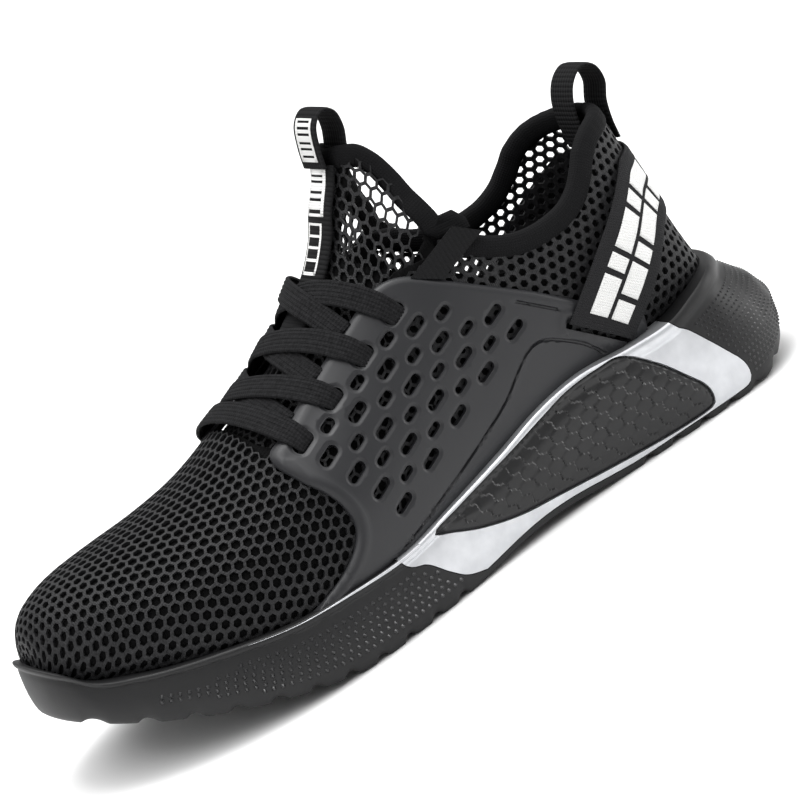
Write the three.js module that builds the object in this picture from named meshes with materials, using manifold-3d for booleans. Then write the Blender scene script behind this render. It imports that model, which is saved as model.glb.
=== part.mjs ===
// Left safety sneaker, millimetres, +X to the toe, +Y to the outer side, +Z up, standing on its sole.
import * as THREE from 'three';
import { mergeVertices } from 'three/addons/utils/BufferGeometryUtils.js';
import Module from 'manifold-3d';

const wasm = await Module();
wasm.setup();

// Driving sizes
const length = 294.5; // heel to toe, outside
const ballWidth = 108; // widest part of the sole
const instepHeight = 106; // floor to the top of the instep, where the laces end
const heelHeight = 107; // floor to the collar at the back
const heelStack = 24.5; // floor to the foot bed at the heel
const heelSeat = 41.5; // rear of the heel to the origin
const wall = 2; // upper
const gap = 0.3; // between pieces that touch
const tongueThickness = 3;
const insoleThickness = 3.6;
const lastingMargin = 9; // turned-in edge of the upper under the insole
const heelRoll = 13; // lift of the sole's lower edge at the very back
const archLift = 3.2;
const toeSpring = 27;
const treadThickness = 2.8;
const grooveDepth = 1.8;
const grooveWidth = 3;
const groovePitch = 12;

// Grid of the last: points around a section and steps along it
const aroundCount = 18;
const alongCount = 22;

const colours = {
  rubber: { color: 0x161617, roughness: 0.55, metalness: 0 },
  silver: { color: 0xb9babc, roughness: 0.35, metalness: 0.6 },
  hexPanel: { color: 0x1a1a1c, roughness: 0.5, metalness: 0 },
  mesh: { color: 0x111112, roughness: 0.9, metalness: 0 },
  cage: { color: 0x2d2e31, roughness: 0.45, metalness: 0 },
  knit: { color: 0x141415, roughness: 0.95, metalness: 0 },
  lace: { color: 0x1d1d1e, roughness: 0.95, metalness: 0 },
  webbing: { color: 0x171718, roughness: 0.85, metalness: 0 },
};

// Tables are read by a smooth curve through their rows, the first column being the place
function smoothTable(names, rows) {
  const places = rows.map((row) => row[0]);
  const values = rows.flatMap((row) => row.slice(1));
  const curve = new THREE.CubicInterpolant(places, values, names.length - 1);
  return (place) => {
    const found = curve.evaluate(THREE.MathUtils.clamp(place, places[0], places[places.length - 1]));
    return Object.fromEntries(names.slice(1).map((name, i) => [name, found[i]]));
  };
}

// Foot bed, from the heel (0) to the toe (1), as shares of heelStack
const bedTable = smoothTable(['at', 'height'], [
  [0.000, 1.00], [0.190, 1.00], [0.292, 1.02], [0.373, 0.95], [0.454, 0.81], [0.524, 0.67],
  [0.595, 0.56], [0.666, 0.52], [0.737, 0.54], [0.798, 0.66], [0.858, 0.84], [0.909, 1.03],
  [0.949, 1.18], [1.000, 1.45],
]);

// Sole in plan: centre line and both sides before the ends are rounded, as shares of ballWidth,
// the lean of the wall at its top as a share of ballWidth, and the wall's top as a share of heelStack
const soleTable = smoothTable(['at', 'line', 'lateral', 'medial', 'lean', 'top'], [
  [0.000, 0.000, 0.345, 0.345, 0.165, 1.72],
  [0.049, 0.000, 0.350, 0.350, 0.135, 1.74],
  [0.099, 0.000, 0.352, 0.350, 0.075, 1.73],
  [0.140, 0.000, 0.352, 0.347, 0.035, 1.62],
  [0.180, 0.000, 0.352, 0.340, 0.015, 1.50],
  [0.241, 0.000, 0.352, 0.330, 0.010, 1.50],
  [0.312, 0.000, 0.354, 0.312, 0.010, 1.57],
  [0.373, -0.002, 0.365, 0.300, 0.010, 1.49],
  [0.443, -0.008, 0.393, 0.304, 0.010, 1.29],
  [0.524, -0.018, 0.440, 0.325, 0.010, 1.12],
  [0.605, -0.030, 0.495, 0.368, 0.010, 0.99],
  [0.686, -0.042, 0.541, 0.418, 0.010, 1.03],
  [0.757, -0.055, 0.557, 0.436, 0.010, 1.08],
  [0.838, -0.067, 0.557, 0.428, 0.010, 1.23],
  [0.919, -0.074, 0.557, 0.412, 0.010, 1.40],
  [0.970, -0.074, 0.557, 0.408, 0.008, 1.47],
  [0.985, -0.074, 0.557, 0.408, 0.004, 1.58],
  [1.000, -0.074, 0.557, 0.408, 0.000, 2.00],
]);
const heelCurve = 0.13; // shares of length over which the ends are rounded
const toeCurve = 0.271;
const endPower = 2.1;
const heelFlat = { from: 0.125, to: 0.276 };
const ballFlat = { from: 0.57, to: 0.686 };
const toeSpringPower = 1.5;

// Side of the sole, floor (0) to top edge (1): inset in mm, and how much of the lean it takes
const sideProfile = [
  { up: 0.00, inset: 1.9, lean: 0.28 },
  { up: 0.08, inset: 0.5, lean: 0.22 },
  { up: 0.35, inset: 0.0, lean: 0.19 },
  { up: 0.60, inset: 0.3, lean: 0.40 },
  { up: 0.86, inset: 1.4, lean: 0.82 },
  { up: 0.92, inset: 0.4, lean: 0.88 },
  { up: 1.00, inset: 1.0, lean: 1.00 },
];

// Sections of the last, toe (0) to collar (1). Each is a loop in a plane from its top point to its
// bottom point. X as shares of length; topZ of instepHeight; bed of the foot bed there; rise as a
// share of the heel's height above the bed; sides of ballWidth; top and bottom squareness; widest level
const lastTable = smoothTable(
  ['at', 'topX', 'topZ', 'botX', 'bed', 'rise', 'lateral', 'medial', 'topPower', 'botPower', 'widest'],
  [
    [0.00, 0.982, 0.460, 0.979, 1.10, 0.00, -0.030, 0.112, 2.0, 2.0, 0.45],
    [0.02, 0.976, 0.515, 0.974, 1.02, 0.00, 0.050, 0.180, 2.0, 2.1, 0.44],
    [0.05, 0.962, 0.563, 0.960, 1.00, 0.00, 0.135, 0.252, 2.0, 2.2, 0.42],
    [0.09, 0.939, 0.598, 0.938, 1.00, 0.00, 0.220, 0.312, 2.0, 2.4, 0.40],
    [0.14, 0.905, 0.621, 0.905, 1.00, 0.00, 0.305, 0.366, 2.0, 2.6, 0.38],
    [0.20, 0.854, 0.634, 0.854, 1.00, 0.00, 0.388, 0.418, 2.0, 2.8, 0.36],
    [0.26, 0.790, 0.648, 0.790, 1.00, 0.00, 0.440, 0.440, 2.0, 3.0, 0.35],
    [0.32, 0.729, 0.682, 0.729, 1.00, 0.00, 0.460, 0.432, 2.0, 3.2, 0.34],
    [0.38, 0.668, 0.752, 0.661, 1.00, 0.00, 0.450, 0.400, 2.0, 3.2, 0.33],
    [0.44, 0.606, 0.830, 0.593, 1.00, 0.00, 0.420, 0.356, 2.0, 3.2, 0.33],
    [0.50, 0.552, 0.920, 0.522, 1.00, 0.00, 0.385, 0.318, 2.0, 3.0, 0.34],
    [0.55, 0.507, 1.015, 0.446, 1.00, 0.00, 0.352, 0.298, 2.0, 2.9, 0.36],
    [0.60, 0.478, 1.105, 0.363, 1.00, 0.00, 0.330, 0.292, 2.0, 2.8, 0.38],
    [0.65, 0.460, 1.185, 0.277, 1.00, 0.00, 0.318, 0.300, 2.1, 2.7, 0.40],
    [0.70, 0.443, 1.250, 0.190, 1.00, 0.00, 0.312, 0.308, 2.1, 2.6, 0.42],
    [0.75, 0.433, 1.300, 0.120, 1.00, 0.00, 0.306, 0.306, 2.2, 2.5, 0.44],
    [0.79, 0.427, 1.330, 0.084, 1.00, 0.04, 0.300, 0.300, 2.2, 2.4, 0.45],
    [0.83, 0.425, 1.355, 0.073, 1.00, 0.16, 0.294, 0.294, 2.2, 2.4, 0.46],
    [0.87, 0.423, 1.380, 0.081, 1.00, 0.34, 0.286, 0.286, 2.2, 2.4, 0.46],
    [0.91, 0.421, 1.405, 0.089, 1.00, 0.54, 0.278, 0.278, 2.2, 2.4, 0.46],
    [0.95, 0.419, 1.435, 0.097, 1.00, 0.76, 0.268, 0.268, 2.2, 2.4, 0.46],
    [1.00, 0.417, 1.480, 0.108, 1.00, 1.06, 0.260, 0.260, 2.2, 2.4, 0.46],
  ],
);

const bedHeight = (x) => bedTable(x / length).height * heelStack;

// Lower edge of the sole: heel roll, flat, arch, flat at the ball, toe spring
function soleBottom(x) {
  const at = THREE.MathUtils.clamp(x / length, 0, 1);
  if (at < heelFlat.from) {
    return heelRoll * ((heelFlat.from - at) / heelFlat.from) ** 2;
  }
  if (at > heelFlat.to && at < ballFlat.from) {
    return archLift * Math.sin((Math.PI * (at - heelFlat.to)) / (ballFlat.from - heelFlat.to)) ** 2;
  }
  if (at > ballFlat.to) {
    return toeSpring * ((at - ballFlat.to) / (1 - ballFlat.to)) ** toeSpringPower;
  }
  return 0;
}

const soleTop = (x) => soleTable(x / length).top * heelStack;

// Plan of the sole at a station: both sides, rounded to a point at heel and toe
function solePlan(at) {
  const { line, lateral, medial } = soleTable(at);
  const heel = at < heelCurve ? 1 - at / heelCurve : 0;
  const toe = at > 1 - toeCurve ? (at - 1 + toeCurve) / toeCurve : 0;
  const close = (1 - Math.max(heel, toe) ** endPower) ** (1 / endPower);
  return {
    lateral: (line + lateral * close) * ballWidth,
    medial: (line - medial * close) * ballWidth,
  };
}

// Closed mesh from rings of points with the same count, capped at both ends by cap(), which gives
// the triangles of one ring
function ringMesh(rings, cap) {
  const count = rings[0].length;
  const points = rings.flat();
  const faces = [];
  for (let r = 0; r + 1 < rings.length; r += 1) {
    for (let i = 0; i < count; i += 1) {
      const a = r * count + i;
      const b = r * count + ((i + 1) % count);
      faces.push(a, b, b + count, a, b + count, a + count);
    }
  }
  const top = (rings.length - 1) * count;
  for (const [a, b, c] of cap(count)) {
    faces.push(a, c, b, top + a, top + b, top + c);
  }
  const geometry = new THREE.BufferGeometry();
  geometry.setAttribute('position', new THREE.Float32BufferAttribute(points.flatMap((p) => p.toArray()), 3));
  geometry.setIndex(faces);
  return geometry;
}

// A ring that runs from the heel along one side to the toe and back is closed by rungs across it
function ladderCap(count) {
  const faces = [];
  for (let i = 0; i < count / 2; i += 1) {
    const j = count - i;
    faces.push([i, i + 1, j % count], [i + 1, j - 1, j % count]);
  }
  return faces.filter(([a, b, c]) => a !== b && b !== c && a !== c);
}

function fanCap(count) {
  return Array.from({ length: count - 2 }, (_, i) => [0, i + 1, i + 2]);
}

function toSolid(geometry) {
  const bare = geometry.clone();
  bare.deleteAttribute('normal');
  bare.deleteAttribute('uv');
  const merged = mergeVertices(bare, 1e-4);
  return new wasm.Manifold(new wasm.Mesh({
    numProp: 3,
    vertProperties: new Float32Array(merged.attributes.position.array),
    triVerts: new Uint32Array(merged.index.array),
  }));
}

// Stations along the sole, closer together towards the rounded ends
const soleStations = (() => {
  const places = [];
  const ends = 5;
  for (let i = 0; i < ends; i += 1) {
    places.push(heelCurve * (1 - Math.cos((Math.PI / 2) * (i / ends))));
  }
  const middle = 12;
  const straight = 1 - toeCurve - heelCurve;
  for (let i = 0; i <= middle; i += 1) {
    places.push(heelCurve + (straight * i) / middle);
  }
  for (let i = 1; i <= ends; i += 1) {
    places.push(1 - toeCurve + toeCurve * Math.sin((Math.PI / 2) * (i / ends)));
  }
  return places;
})();

// Solid with the sole's plan between two heights, its edge pulled in by the rows of a profile
function planSolid(profile, low, high) {
  const edge = soleStations.map((at) => {
    const plan = solePlan(at);
    return { x: at * length, lateral: plan.lateral, medial: plan.medial, lean: soleTable(at).lean * ballWidth };
  });
  const last = edge.length - 1;
  const outline = [
    ...edge.map((e) => ({ x: e.x, y: e.medial, lean: e.lean })),
    ...edge.slice(1, last).reverse().map((e) => ({ x: e.x, y: e.lateral, lean: e.lean })),
  ];
  const inwards = outline.map((_, i) => {
    const before = outline[(i + outline.length - 1) % outline.length];
    const after = outline[(i + 1) % outline.length];
    return new THREE.Vector2(-(after.y - before.y), after.x - before.x).normalize();
  });
  const rings = profile.map((row) => outline.map((p, i) => {
    const inset = row.inset + row.lean * p.lean;
    const x = p.x + inwards[i].x * inset;
    const y = p.y + inwards[i].y * inset;
    return new THREE.Vector3(x, y, THREE.MathUtils.lerp(low(x), high(x), row.up));
  }));
  return toSolid(ringMesh(rings, ladderCap));
}

// Point of the last at a share along it and an angle around it
function lastPoint(at, angle) {
  const row = lastTable(at);
  const top = new THREE.Vector2(row.topX * length, row.topZ * instepHeight);
  const bedZ = bedHeight(row.botX * length) * row.bed;
  const bottom = new THREE.Vector2(row.botX * length, bedZ + row.rise * (heelHeight - heelStack));
  const up = top.clone().sub(bottom);
  const c = Math.cos(angle);
  const s = Math.sin(angle);
  const power = s > 0 ? row.topPower : row.botPower;
  const across = Math.sign(c) * Math.abs(c) ** (2 / power);
  const along = Math.sign(s) * Math.abs(s) ** (2 / power);
  const half = ((row.lateral + row.medial) / 2) * ballWidth;
  const middle = ((row.lateral - row.medial) / 2) * ballWidth;
  const level = row.widest + along * (s > 0 ? 1 - row.widest : row.widest);
  return new THREE.Vector3(bottom.x + up.x * level, middle + across * half, bottom.y + up.y * level);
}

// The last as a closed solid, grown outwards by some mm, negative to shrink, or by a function of the point
function lastSolid(grow) {
  const amount = typeof grow === 'function' ? grow : () => grow;
  const step = 1e-3;
  const rings = [];
  for (let i = 0; i <= alongCount; i += 1) {
    const at = THREE.MathUtils.lerp(i / alongCount, (i / alongCount) ** 1.25, 0.6);
    const ring = [];
    for (let j = 0; j < aroundCount; j += 1) {
      const angle = (2 * Math.PI * (j + 0.5)) / aroundCount;
      const p = lastPoint(at, angle);
      const alongWay = lastPoint(Math.min(at + step, 1), angle).sub(lastPoint(Math.max(at - step, 0), angle));
      const aroundWay = lastPoint(at, angle + step).sub(lastPoint(at, angle - step));
      const normal = alongWay.cross(aroundWay).normalize();
      ring.push(p.addScaledVector(normal, amount(p)));
    }
    if (i === 0) {
      ring.forEach((p) => p.setX(p.x + amount(p)));
    }
    rings.push(ring.reverse());
  }
  return toSolid(ringMesh(rings, fanCap));
}

// Prism with an outline in the side view (x, z in mm) between two Y planes
function sidePrism(outline, fromY, toY) {
  const shape = new THREE.Shape(outline);
  const geometry = new THREE.ExtrudeGeometry(shape, { depth: toY - fromY, bevelEnabled: false });
  geometry.rotateX(Math.PI / 2);
  geometry.translate(0, toY, 0);
  return toSolid(geometry);
}

export const shoe = new THREE.Group();
shoe.position.x = -heelSeat;

function addPiece(name, body, look) {
  const found = body.getMesh();
  const geometry = new THREE.BufferGeometry();
  geometry.setAttribute('position', new THREE.BufferAttribute(found.vertProperties.slice(), 3));
  geometry.setIndex(new THREE.BufferAttribute(found.triVerts.slice(), 1));
  geometry.computeVertexNormals();
  const mesh = new THREE.Mesh(geometry, new THREE.MeshStandardMaterial(look));
  mesh.name = name;
  shoe.add(mesh);
}

// Side outlines are in shares: at of length, height of instepHeight
const side = (at, height) => new THREE.Vector2(at * length, height * instepHeight);
const sidePath = (rows) => rows.map(([at, height]) => side(at, height));

// Outline with every corner moved outwards by some mm (anticlockwise outlines)
function growOutline(points, amount) {
  return points.map((p, i) => {
    const before = points[(i + points.length - 1) % points.length];
    const after = points[(i + 1) % points.length];
    const from = p.clone().sub(before).normalize();
    const to = after.clone().sub(p).normalize();
    const out = new THREE.Vector2(from.y + to.y, -(from.x + to.x)).normalize();
    return p.clone().addScaledVector(out, amount / Math.max(out.dot(new THREE.Vector2(to.y, -to.x)), 0.4));
  });
}

// Space between two sizes of the last: a skin over the foot
const skin = (inner, outer) => lastSolid(outer).subtract(lastSolid(inner));
const farSide = 90; // past either side of the shoe

// Sole: one form with the last sunk into it, parted in the side view
const soleForm = planSolid(sideProfile, soleBottom, soleTop);
const soleGuard = planSolid(
  sideProfile.map((row) => ({ ...row, inset: row.inset - gap })), soleBottom, (x) => soleTop(x) + gap);
const solePart = soleForm.subtract(lastSolid(gap));

// Midsole zone: slanted front face, tread line beneath, slanted rear bar; z in shares of heelStack
const stack = (at, share) => new THREE.Vector2(at * length, share * heelStack);
const treadLine = [0.15, 0.2, 0.276, 0.33, 0.38, 0.43, 0.48, 0.525].map(
  (at) => new THREE.Vector2(at * length, soleBottom(at * length) + treadThickness));
const midsoleZone = [
  ...treadLine,
  stack(0.550, 0.25), stack(0.569, 0.45), stack(0.588, 0.70), stack(0.616, 0.94), stack(0.640, 2.0),
  stack(0.225, 2.4), stack(0.184, 1.47), stack(0.168, 1.26), stack(0.154, 1.02), stack(0.137, 0.71),
  stack(0.124, 0.45), stack(0.122, 0.24), stack(0.130, 0.13),
];
// Side panel: a lens with a round rear end, just under the top edge
const panelOutline = [
  stack(0.190, 0.155), stack(0.250, 0.165), stack(0.330, 0.25), stack(0.400, 0.36), stack(0.455, 0.46),
  stack(0.505, 0.64), stack(0.540, 0.83), stack(0.562, 0.98), stack(0.520, 1.07), stack(0.440, 1.23),
  stack(0.380, 1.38), stack(0.335, 1.49), stack(0.290, 1.51), stack(0.255, 1.46), stack(0.220, 1.10),
  stack(0.196, 0.74), stack(0.180, 0.47), stack(0.178, 0.24),
];
const panelDepth = 2.2;
const shrunkSide = (inset) => planSolid(
  sideProfile.map((row) => ({ ...row, inset: row.inset + inset })), soleBottom, soleTop);
const panelSkin = soleForm.subtract(shrunkSide(panelDepth));
const panelSeat = shrunkSide(-1).subtract(shrunkSide(panelDepth + gap));

const midsole = solePart
  .intersect(sidePrism(midsoleZone, -farSide, farSide))
  .subtract(panelSeat.intersect(sidePrism(growOutline(panelOutline, gap), -farSide, farSide)));

// Grooves across the tread between the lugs
function treadGrooves() {
  const half = grooveWidth / 2;
  const cuts = [];
  for (let x = 0.035 * length; x < 0.975 * length; x += groovePitch) {
    const at = x / length;
    if (at > heelFlat.to + 0.03 && at < ballFlat.from - 0.03) {
      continue;
    }
    const z = soleBottom(x);
    const outline = [[-half * 1.5, -4], [half * 1.5, -4], [half * 0.6, grooveDepth], [-half * 0.6, grooveDepth]];
    cuts.push(sidePrism(outline.map(([dx, dz]) => new THREE.Vector2(x + dx, z + dz)), -farSide, farSide));
  }
  return cuts.reduce((all, cut) => all.add(cut));
}
const outsole = solePart
  .subtract(sidePrism(growOutline(midsoleZone, gap), -farSide, farSide))
  .subtract(treadGrooves());

// Mouth of the shoe in the side view: throat under the laces, collar dip, heel
const collarLine = sidePath([
  [0.382, 0.975], [0.350, 0.930], [0.322, 0.880], [0.290, 0.848], [0.252, 0.843], [0.222, 0.865],
  [0.200, 0.910], [0.180, 0.965], [0.150, 1.005], [0.110, 1.015], [0.060, 1.005],
]);
const throatLine = sidePath([[0.680, 0.900], [0.670, 0.700], [0.655, 0.660], [0.474, 0.900], [0.440, 0.935]]);
const overTop = sidePath([[0.02, 1.7], [0.72, 1.7]]);
const rimHeight = 8;
const rimOut = 1;
const rimIn = 4.6;
const lowered = collarLine.map((p) => new THREE.Vector2(p.x, p.y - rimHeight));
const mouth = (line) => [...throatLine, ...line, ...overTop].reverse();

const plateUnder = (inset, low, high) => planSolid([{ up: 0, inset, lean: 0 }, { up: 1, inset, lean: 0 }], low, high);
const soleWall = 5;
const upper = skin(-wall, 0)
  .subtract(sidePrism(mouth(lowered), -farSide, farSide))
  .subtract(plateUnder(soleWall + lastingMargin, (x) => bedHeight(x) - 4, (x) => bedHeight(x) + wall + 1));

// Padded rim round the collar, over the top edge of the upper
const rimBand = [...collarLine, ...lowered.map((p) => new THREE.Vector2(p.x, p.y + gap)).reverse()];
const collarRim = skin(-rimIn, rimOut).intersect(sidePrism(rimBand, -farSide, farSide));

// Tongue: a saddle inside the throat that stands up out of the mouth
const tongueIn = wall + gap;
const tongueOutline = sidePath([
  [0.706, 1.1], [0.706, 0.700], [0.680, 0.575], [0.462, 0.800], [0.372, 0.800], [0.362, 0.960], [0.364, 1.018],
  [0.368, 1.070], [0.375, 1.147], [0.382, 1.217], [0.392, 1.276], [0.402, 1.313], [0.413, 1.330], [0.445, 1.340],
  [0.50, 1.6], [0.706, 1.6],
]).reverse();
const tongue = skin(-tongueIn - tongueThickness, -tongueIn)
  .intersect(sidePrism(tongueOutline, -farSide, farSide))
  .subtract(skin(-rimIn - gap, rimOut + gap).intersect(sidePrism(growOutline(rimBand, gap), -farSide, farSide)));

const insole = plateUnder(-12, (x) => bedHeight(x) + wall + gap, (x) => bedHeight(x) + wall + gap + insoleThickness)
  .intersect(lastSolid(-wall - gap));

// Side cages: a moulded skin with rows of slots, an eyelet row on top and a slot for the heel strap
const cageShape = new THREE.Shape();
const go = (method, ...shares) => {
  const numbers = shares.map((share, i) => share * (i % 2 ? instepHeight : length));
  cageShape[method](...numbers);
};
go('moveTo', 0.752, 0.16);
go('lineTo', 0.740, 0.24);
go('quadraticCurveTo', 0.640, 0.300, 0.641, 0.420);
go('quadraticCurveTo', 0.642, 0.490, 0.662, 0.560);
go('lineTo', 0.673, 0.620);
go('quadraticCurveTo', 0.680, 0.668, 0.656, 0.684);
go('lineTo', 0.482, 0.914);
go('quadraticCurveTo', 0.455, 0.945, 0.430, 0.905);
go('lineTo', 0.314, 0.667);
go('lineTo', 0.205, 0.408);
go('lineTo', 0.140, 0.240);
go('lineTo', 0.140, 0.160);
const cageOutline = cageShape.getPoints(3).slice(0, -1);

const slotOrigin = side(0.5684, 0.653);
const slotStep = { back: 16.3, up: 6.4 };
const rowStep = { back: 4.4, down: 8.2 };
const eyeletRow = -0.8;
const laceTilt = Math.atan2(slotStep.up, slotStep.back);
const slotPlace = (i, j) => new THREE.Vector2(
  slotOrigin.x - i * slotStep.back - j * rowStep.back, slotOrigin.y + i * slotStep.up - j * rowStep.down);
const bigSlot = { long: 8.5, wide: 4 };
const smallSlot = { long: 6, wide: 3.4 };
const slotRows = [
  { row: 0, from: -1, to: 2, size: bigSlot },
  { row: 1, from: -1, to: 2, size: bigSlot },
  { row: 2, from: -1, to: 3, size: bigSlot },
  { row: 3, from: -1, to: 3, size: bigSlot },
  { row: -0.5, from: -0.5, to: 1.5, size: smallSlot },
  { row: 0.5, from: -0.5, to: 2.5, size: smallSlot },
  { row: 1.5, from: -0.5, to: 2.5, size: smallSlot },
  { row: 2.5, from: -0.5, to: 2.5, size: smallSlot },
];
const eyelets = [-1, 0, 1, 2].map((i) => slotPlace(i, eyeletRow));

// Long six-sided slot lying along the lacing line
function slotOutline(centre, size, shrink = 0) {
  const long = size.long / 2 - shrink;
  const wide = size.wide / 2 - shrink;
  const corner = long - size.wide * 0.45;
  const rows = [[long, 0], [corner, wide], [-corner, wide], [-long, 0], [-corner, -wide], [corner, -wide]];
  return rows.map(([u, v]) => new THREE.Vector2(u, v).rotateAround(new THREE.Vector2(), -laceTilt).add(centre));
}
const slotPrism = (outline) => sidePrism(outline, -farSide, farSide);
const joined = (solids) => solids.reduce((all, next) => all.add(next));

const slotCuts = slotRows.flatMap(({ row, from, to, size }) => {
  const places = [];
  for (let i = from; i <= to; i += 1) {
    places.push(slotPrism(slotOutline(slotPlace(i, row), size)));
  }
  return places;
});
const eyeletCuts = eyelets.map((place) => slotPrism(slotOutline(place, bigSlot)));

// Heel strap: from a slot in the cage, up and round behind the heel, and down to the other side
const strapEnd = [side(0.229, 0.368), side(0.297, 0.5245)];
const strapOutline = sidePath([
  [0.020, 0.632], [0.056, 0.632], [0.104, 0.608], [0.131, 0.574], [0.172, 0.486], [0.229, 0.368],
  [0.297, 0.5245], [0.219, 0.685], [0.148, 0.823], [0.124, 0.849], [0.020, 0.849],
]);
const strapSlotWidth = 3.2;
const strapThickness = 1.6;
// Thin four-sided outline along a line, some mm to either side of it
function barOutline([from, to], half, extra = 0) {
  const way = to.clone().sub(from).normalize();
  const across = new THREE.Vector2(-way.y, way.x);
  const start = from.clone().addScaledVector(way, -extra);
  const end = to.clone().addScaledVector(way, extra);
  return [[start, -half], [end, -half], [end, half], [start, half]].map(
    ([p, offset]) => p.clone().addScaledVector(across, offset));
}
const cageThickness = 2.2;
const overCage = gap + cageThickness + gap;
const cageBody = skin(gap, gap + cageThickness)
  .subtract(soleGuard)
  .subtract(joined([...slotCuts, ...eyeletCuts]))
  .subtract(slotPrism(barOutline(strapEnd, strapSlotWidth / 2, 0.6)));
const midGap = 5;
const cageLateral = cageBody.intersect(sidePrism(cageOutline, midGap, farSide));
const cageMedial = cageBody.intersect(sidePrism(cageOutline, -farSide, -midGap));
const cageReach = sidePrism(growOutline(cageOutline, gap + 0.2), -farSide, farSide);

// The strap comes down from over the cage to lie on the upper behind it
const strapLift = (p) => gap + (overCage - gap) * THREE.MathUtils.smoothstep(p.x / length, 0.12, 0.20);
const strapLeg = skin(2 * gap, overCage + gap).intersect(slotPrism(barOutline(strapEnd, strapThickness / 2)));
const heelStrap = skin(strapLift, (p) => strapLift(p) + strapThickness)
  .intersect(sidePrism(strapOutline, -farSide, farSide))
  .add(strapLeg)
  .subtract(soleGuard);

// Laces: bars over the tongue from eyelet to eyelet, with the crossings that show between them
const laceWidth = 8.5;
const laceThickness = 1.7;
// Prism in the lacing's own frame: s towards the toe, y across, n out of the instep
function lacePrism(outline, place, fromN, toN) {
  const geometry = new THREE.ExtrudeGeometry(new THREE.Shape(outline), { depth: toN - fromN, bevelEnabled: false });
  geometry.translate(0, 0, fromN);
  geometry.rotateY(laceTilt);
  geometry.translate(place.x, 0, place.y);
  return toSolid(geometry);
}
const plan = (rows) => rows.map(([s, y]) => new THREE.Vector2(s, y));
const laceHalf = laceWidth / 2;
const barSlant = 9; // over the whole span, towards the toe on the inner side
const barSpan = plan([
  [-laceHalf + barSlant, -farSide], [laceHalf + barSlant, -farSide],
  [laceHalf - barSlant, farSide], [-laceHalf - barSlant, farSide],
]);
const crossSpan = 30;
const crossLead = Math.hypot(slotStep.back, slotStep.up) * 0.68;
const crossing = plan([
  [-laceHalf, -crossSpan], [laceHalf, -crossSpan],
  [laceHalf + crossLead, crossSpan], [-laceHalf + crossLead, crossSpan],
]);
const laceBars = skin(overCage, overCage + laceThickness)
  .intersect(joined(eyelets.map((place) => lacePrism(barSpan, place, -1.5, farSide))));
const laceLegs = skin(2 * gap, overCage + gap)
  .intersect(joined(eyelets.map((place) => slotPrism(slotOutline(place, bigSlot, 0.45)))));
const laceCrossings = skin(overCage - laceThickness, overCage + gap)
  .intersect(joined(eyelets.slice(1).map((place) => lacePrism(crossing, place, 3, farSide))))
  .subtract(cageReach);
const laces = laceBars.add(laceLegs).add(laceCrossings);

// Webbing folded along a path in the side view
function webbing(path, thickness, halfWidth) {
  const line = new THREE.SplineCurve(path).getPoints(path.length * 2);
  const shift = (amount) => line.map((p, i) => {
    const way = line[Math.min(i + 1, line.length - 1)].clone().sub(line[Math.max(i - 1, 0)]).normalize();
    return p.clone().add(new THREE.Vector2(-way.y, way.x).multiplyScalar(amount));
  });
  return sidePrism([...shift(thickness / 2), ...shift(-thickness / 2).reverse()], -halfWidth, halfWidth);
}
const loopThickness = 1.6;
const heelLoop = webbing(sidePath([
  [0.0950, 0.868], [0.0945, 0.930], [0.0905, 0.995], [0.0815, 1.055], [0.0850, 1.110], [0.1000, 1.132],
  [0.1170, 1.105], [0.1285, 1.050], [0.1330, 0.980], [0.1335, 0.890],
]), loopThickness, 8);
const tongueLoopHalf = 9;
const tongueGuard = skin(-tongueIn - tongueThickness - gap, -tongueIn + gap)
  .intersect(sidePrism(growOutline(tongueOutline, gap), -farSide, farSide));
const tongueStrip = skin(-tongueIn + gap, -tongueIn + gap + loopThickness).intersect(sidePrism(
  sidePath([[0.560, 0.80], [0.560, 1.05], [0.480, 1.300], [0.445, 1.330], [0.40, 1.30], [0.45, 0.90]]),
  -tongueLoopHalf, tongueLoopHalf));
const tongueLoop = webbing(sidePath([
  [0.4345, 1.285], [0.4310, 1.345], [0.4230, 1.415], [0.4080, 1.448], [0.3950, 1.425], [0.3940, 1.370],
  [0.4010, 1.310], [0.4060, 1.240],
]), loopThickness, tongueLoopHalf).subtract(tongueGuard).add(tongueStrip);

// Elastic tabs from the front of the collar to the cages
const tabOutline = sidePath([[0.3345, 0.915], [0.402, 0.850], [0.433, 0.900], [0.3616, 0.972]]);
const tabSkin = skin(rimOut + gap, rimOut + gap + 1.2).subtract(cageReach);

addPiece('outsole', outsole, colours.rubber);
addPiece('midsole', midsole, colours.silver);
addPiece('side_panel_lateral', panelSkin.intersect(sidePrism(panelOutline, 5, farSide)), colours.hexPanel);
addPiece('side_panel_medial', panelSkin.intersect(sidePrism(panelOutline, -farSide, -5)), colours.hexPanel);
addPiece('upper', upper, colours.mesh);
addPiece('collar_rim', collarRim, colours.knit);
addPiece('tongue', tongue, colours.mesh);
addPiece('insole', insole, colours.knit);
addPiece('cage_lateral', cageLateral, colours.cage);
addPiece('cage_medial', cageMedial, colours.cage);
addPiece('laces', laces, colours.lace);
addPiece('heel_strap', heelStrap, colours.webbing);
addPiece('heel_loop', heelLoop, colours.webbing);
addPiece('tongue_loop', tongueLoop, colours.webbing);
addPiece('collar_tab_lateral', tabSkin.intersect(sidePrism(tabOutline, midGap, farSide)), colours.webbing);
addPiece('collar_tab_medial', tabSkin.intersect(sidePrism(tabOutline, -farSide, -midGap)), colours.webbing);

export default shoe;
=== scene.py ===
import math
import bpy
import numpy as np
from mathutils import Matrix, Vector
from mathutils.bvhtree import BVHTree
from mathutils.geometry import delaunay_2d_cdt


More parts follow.
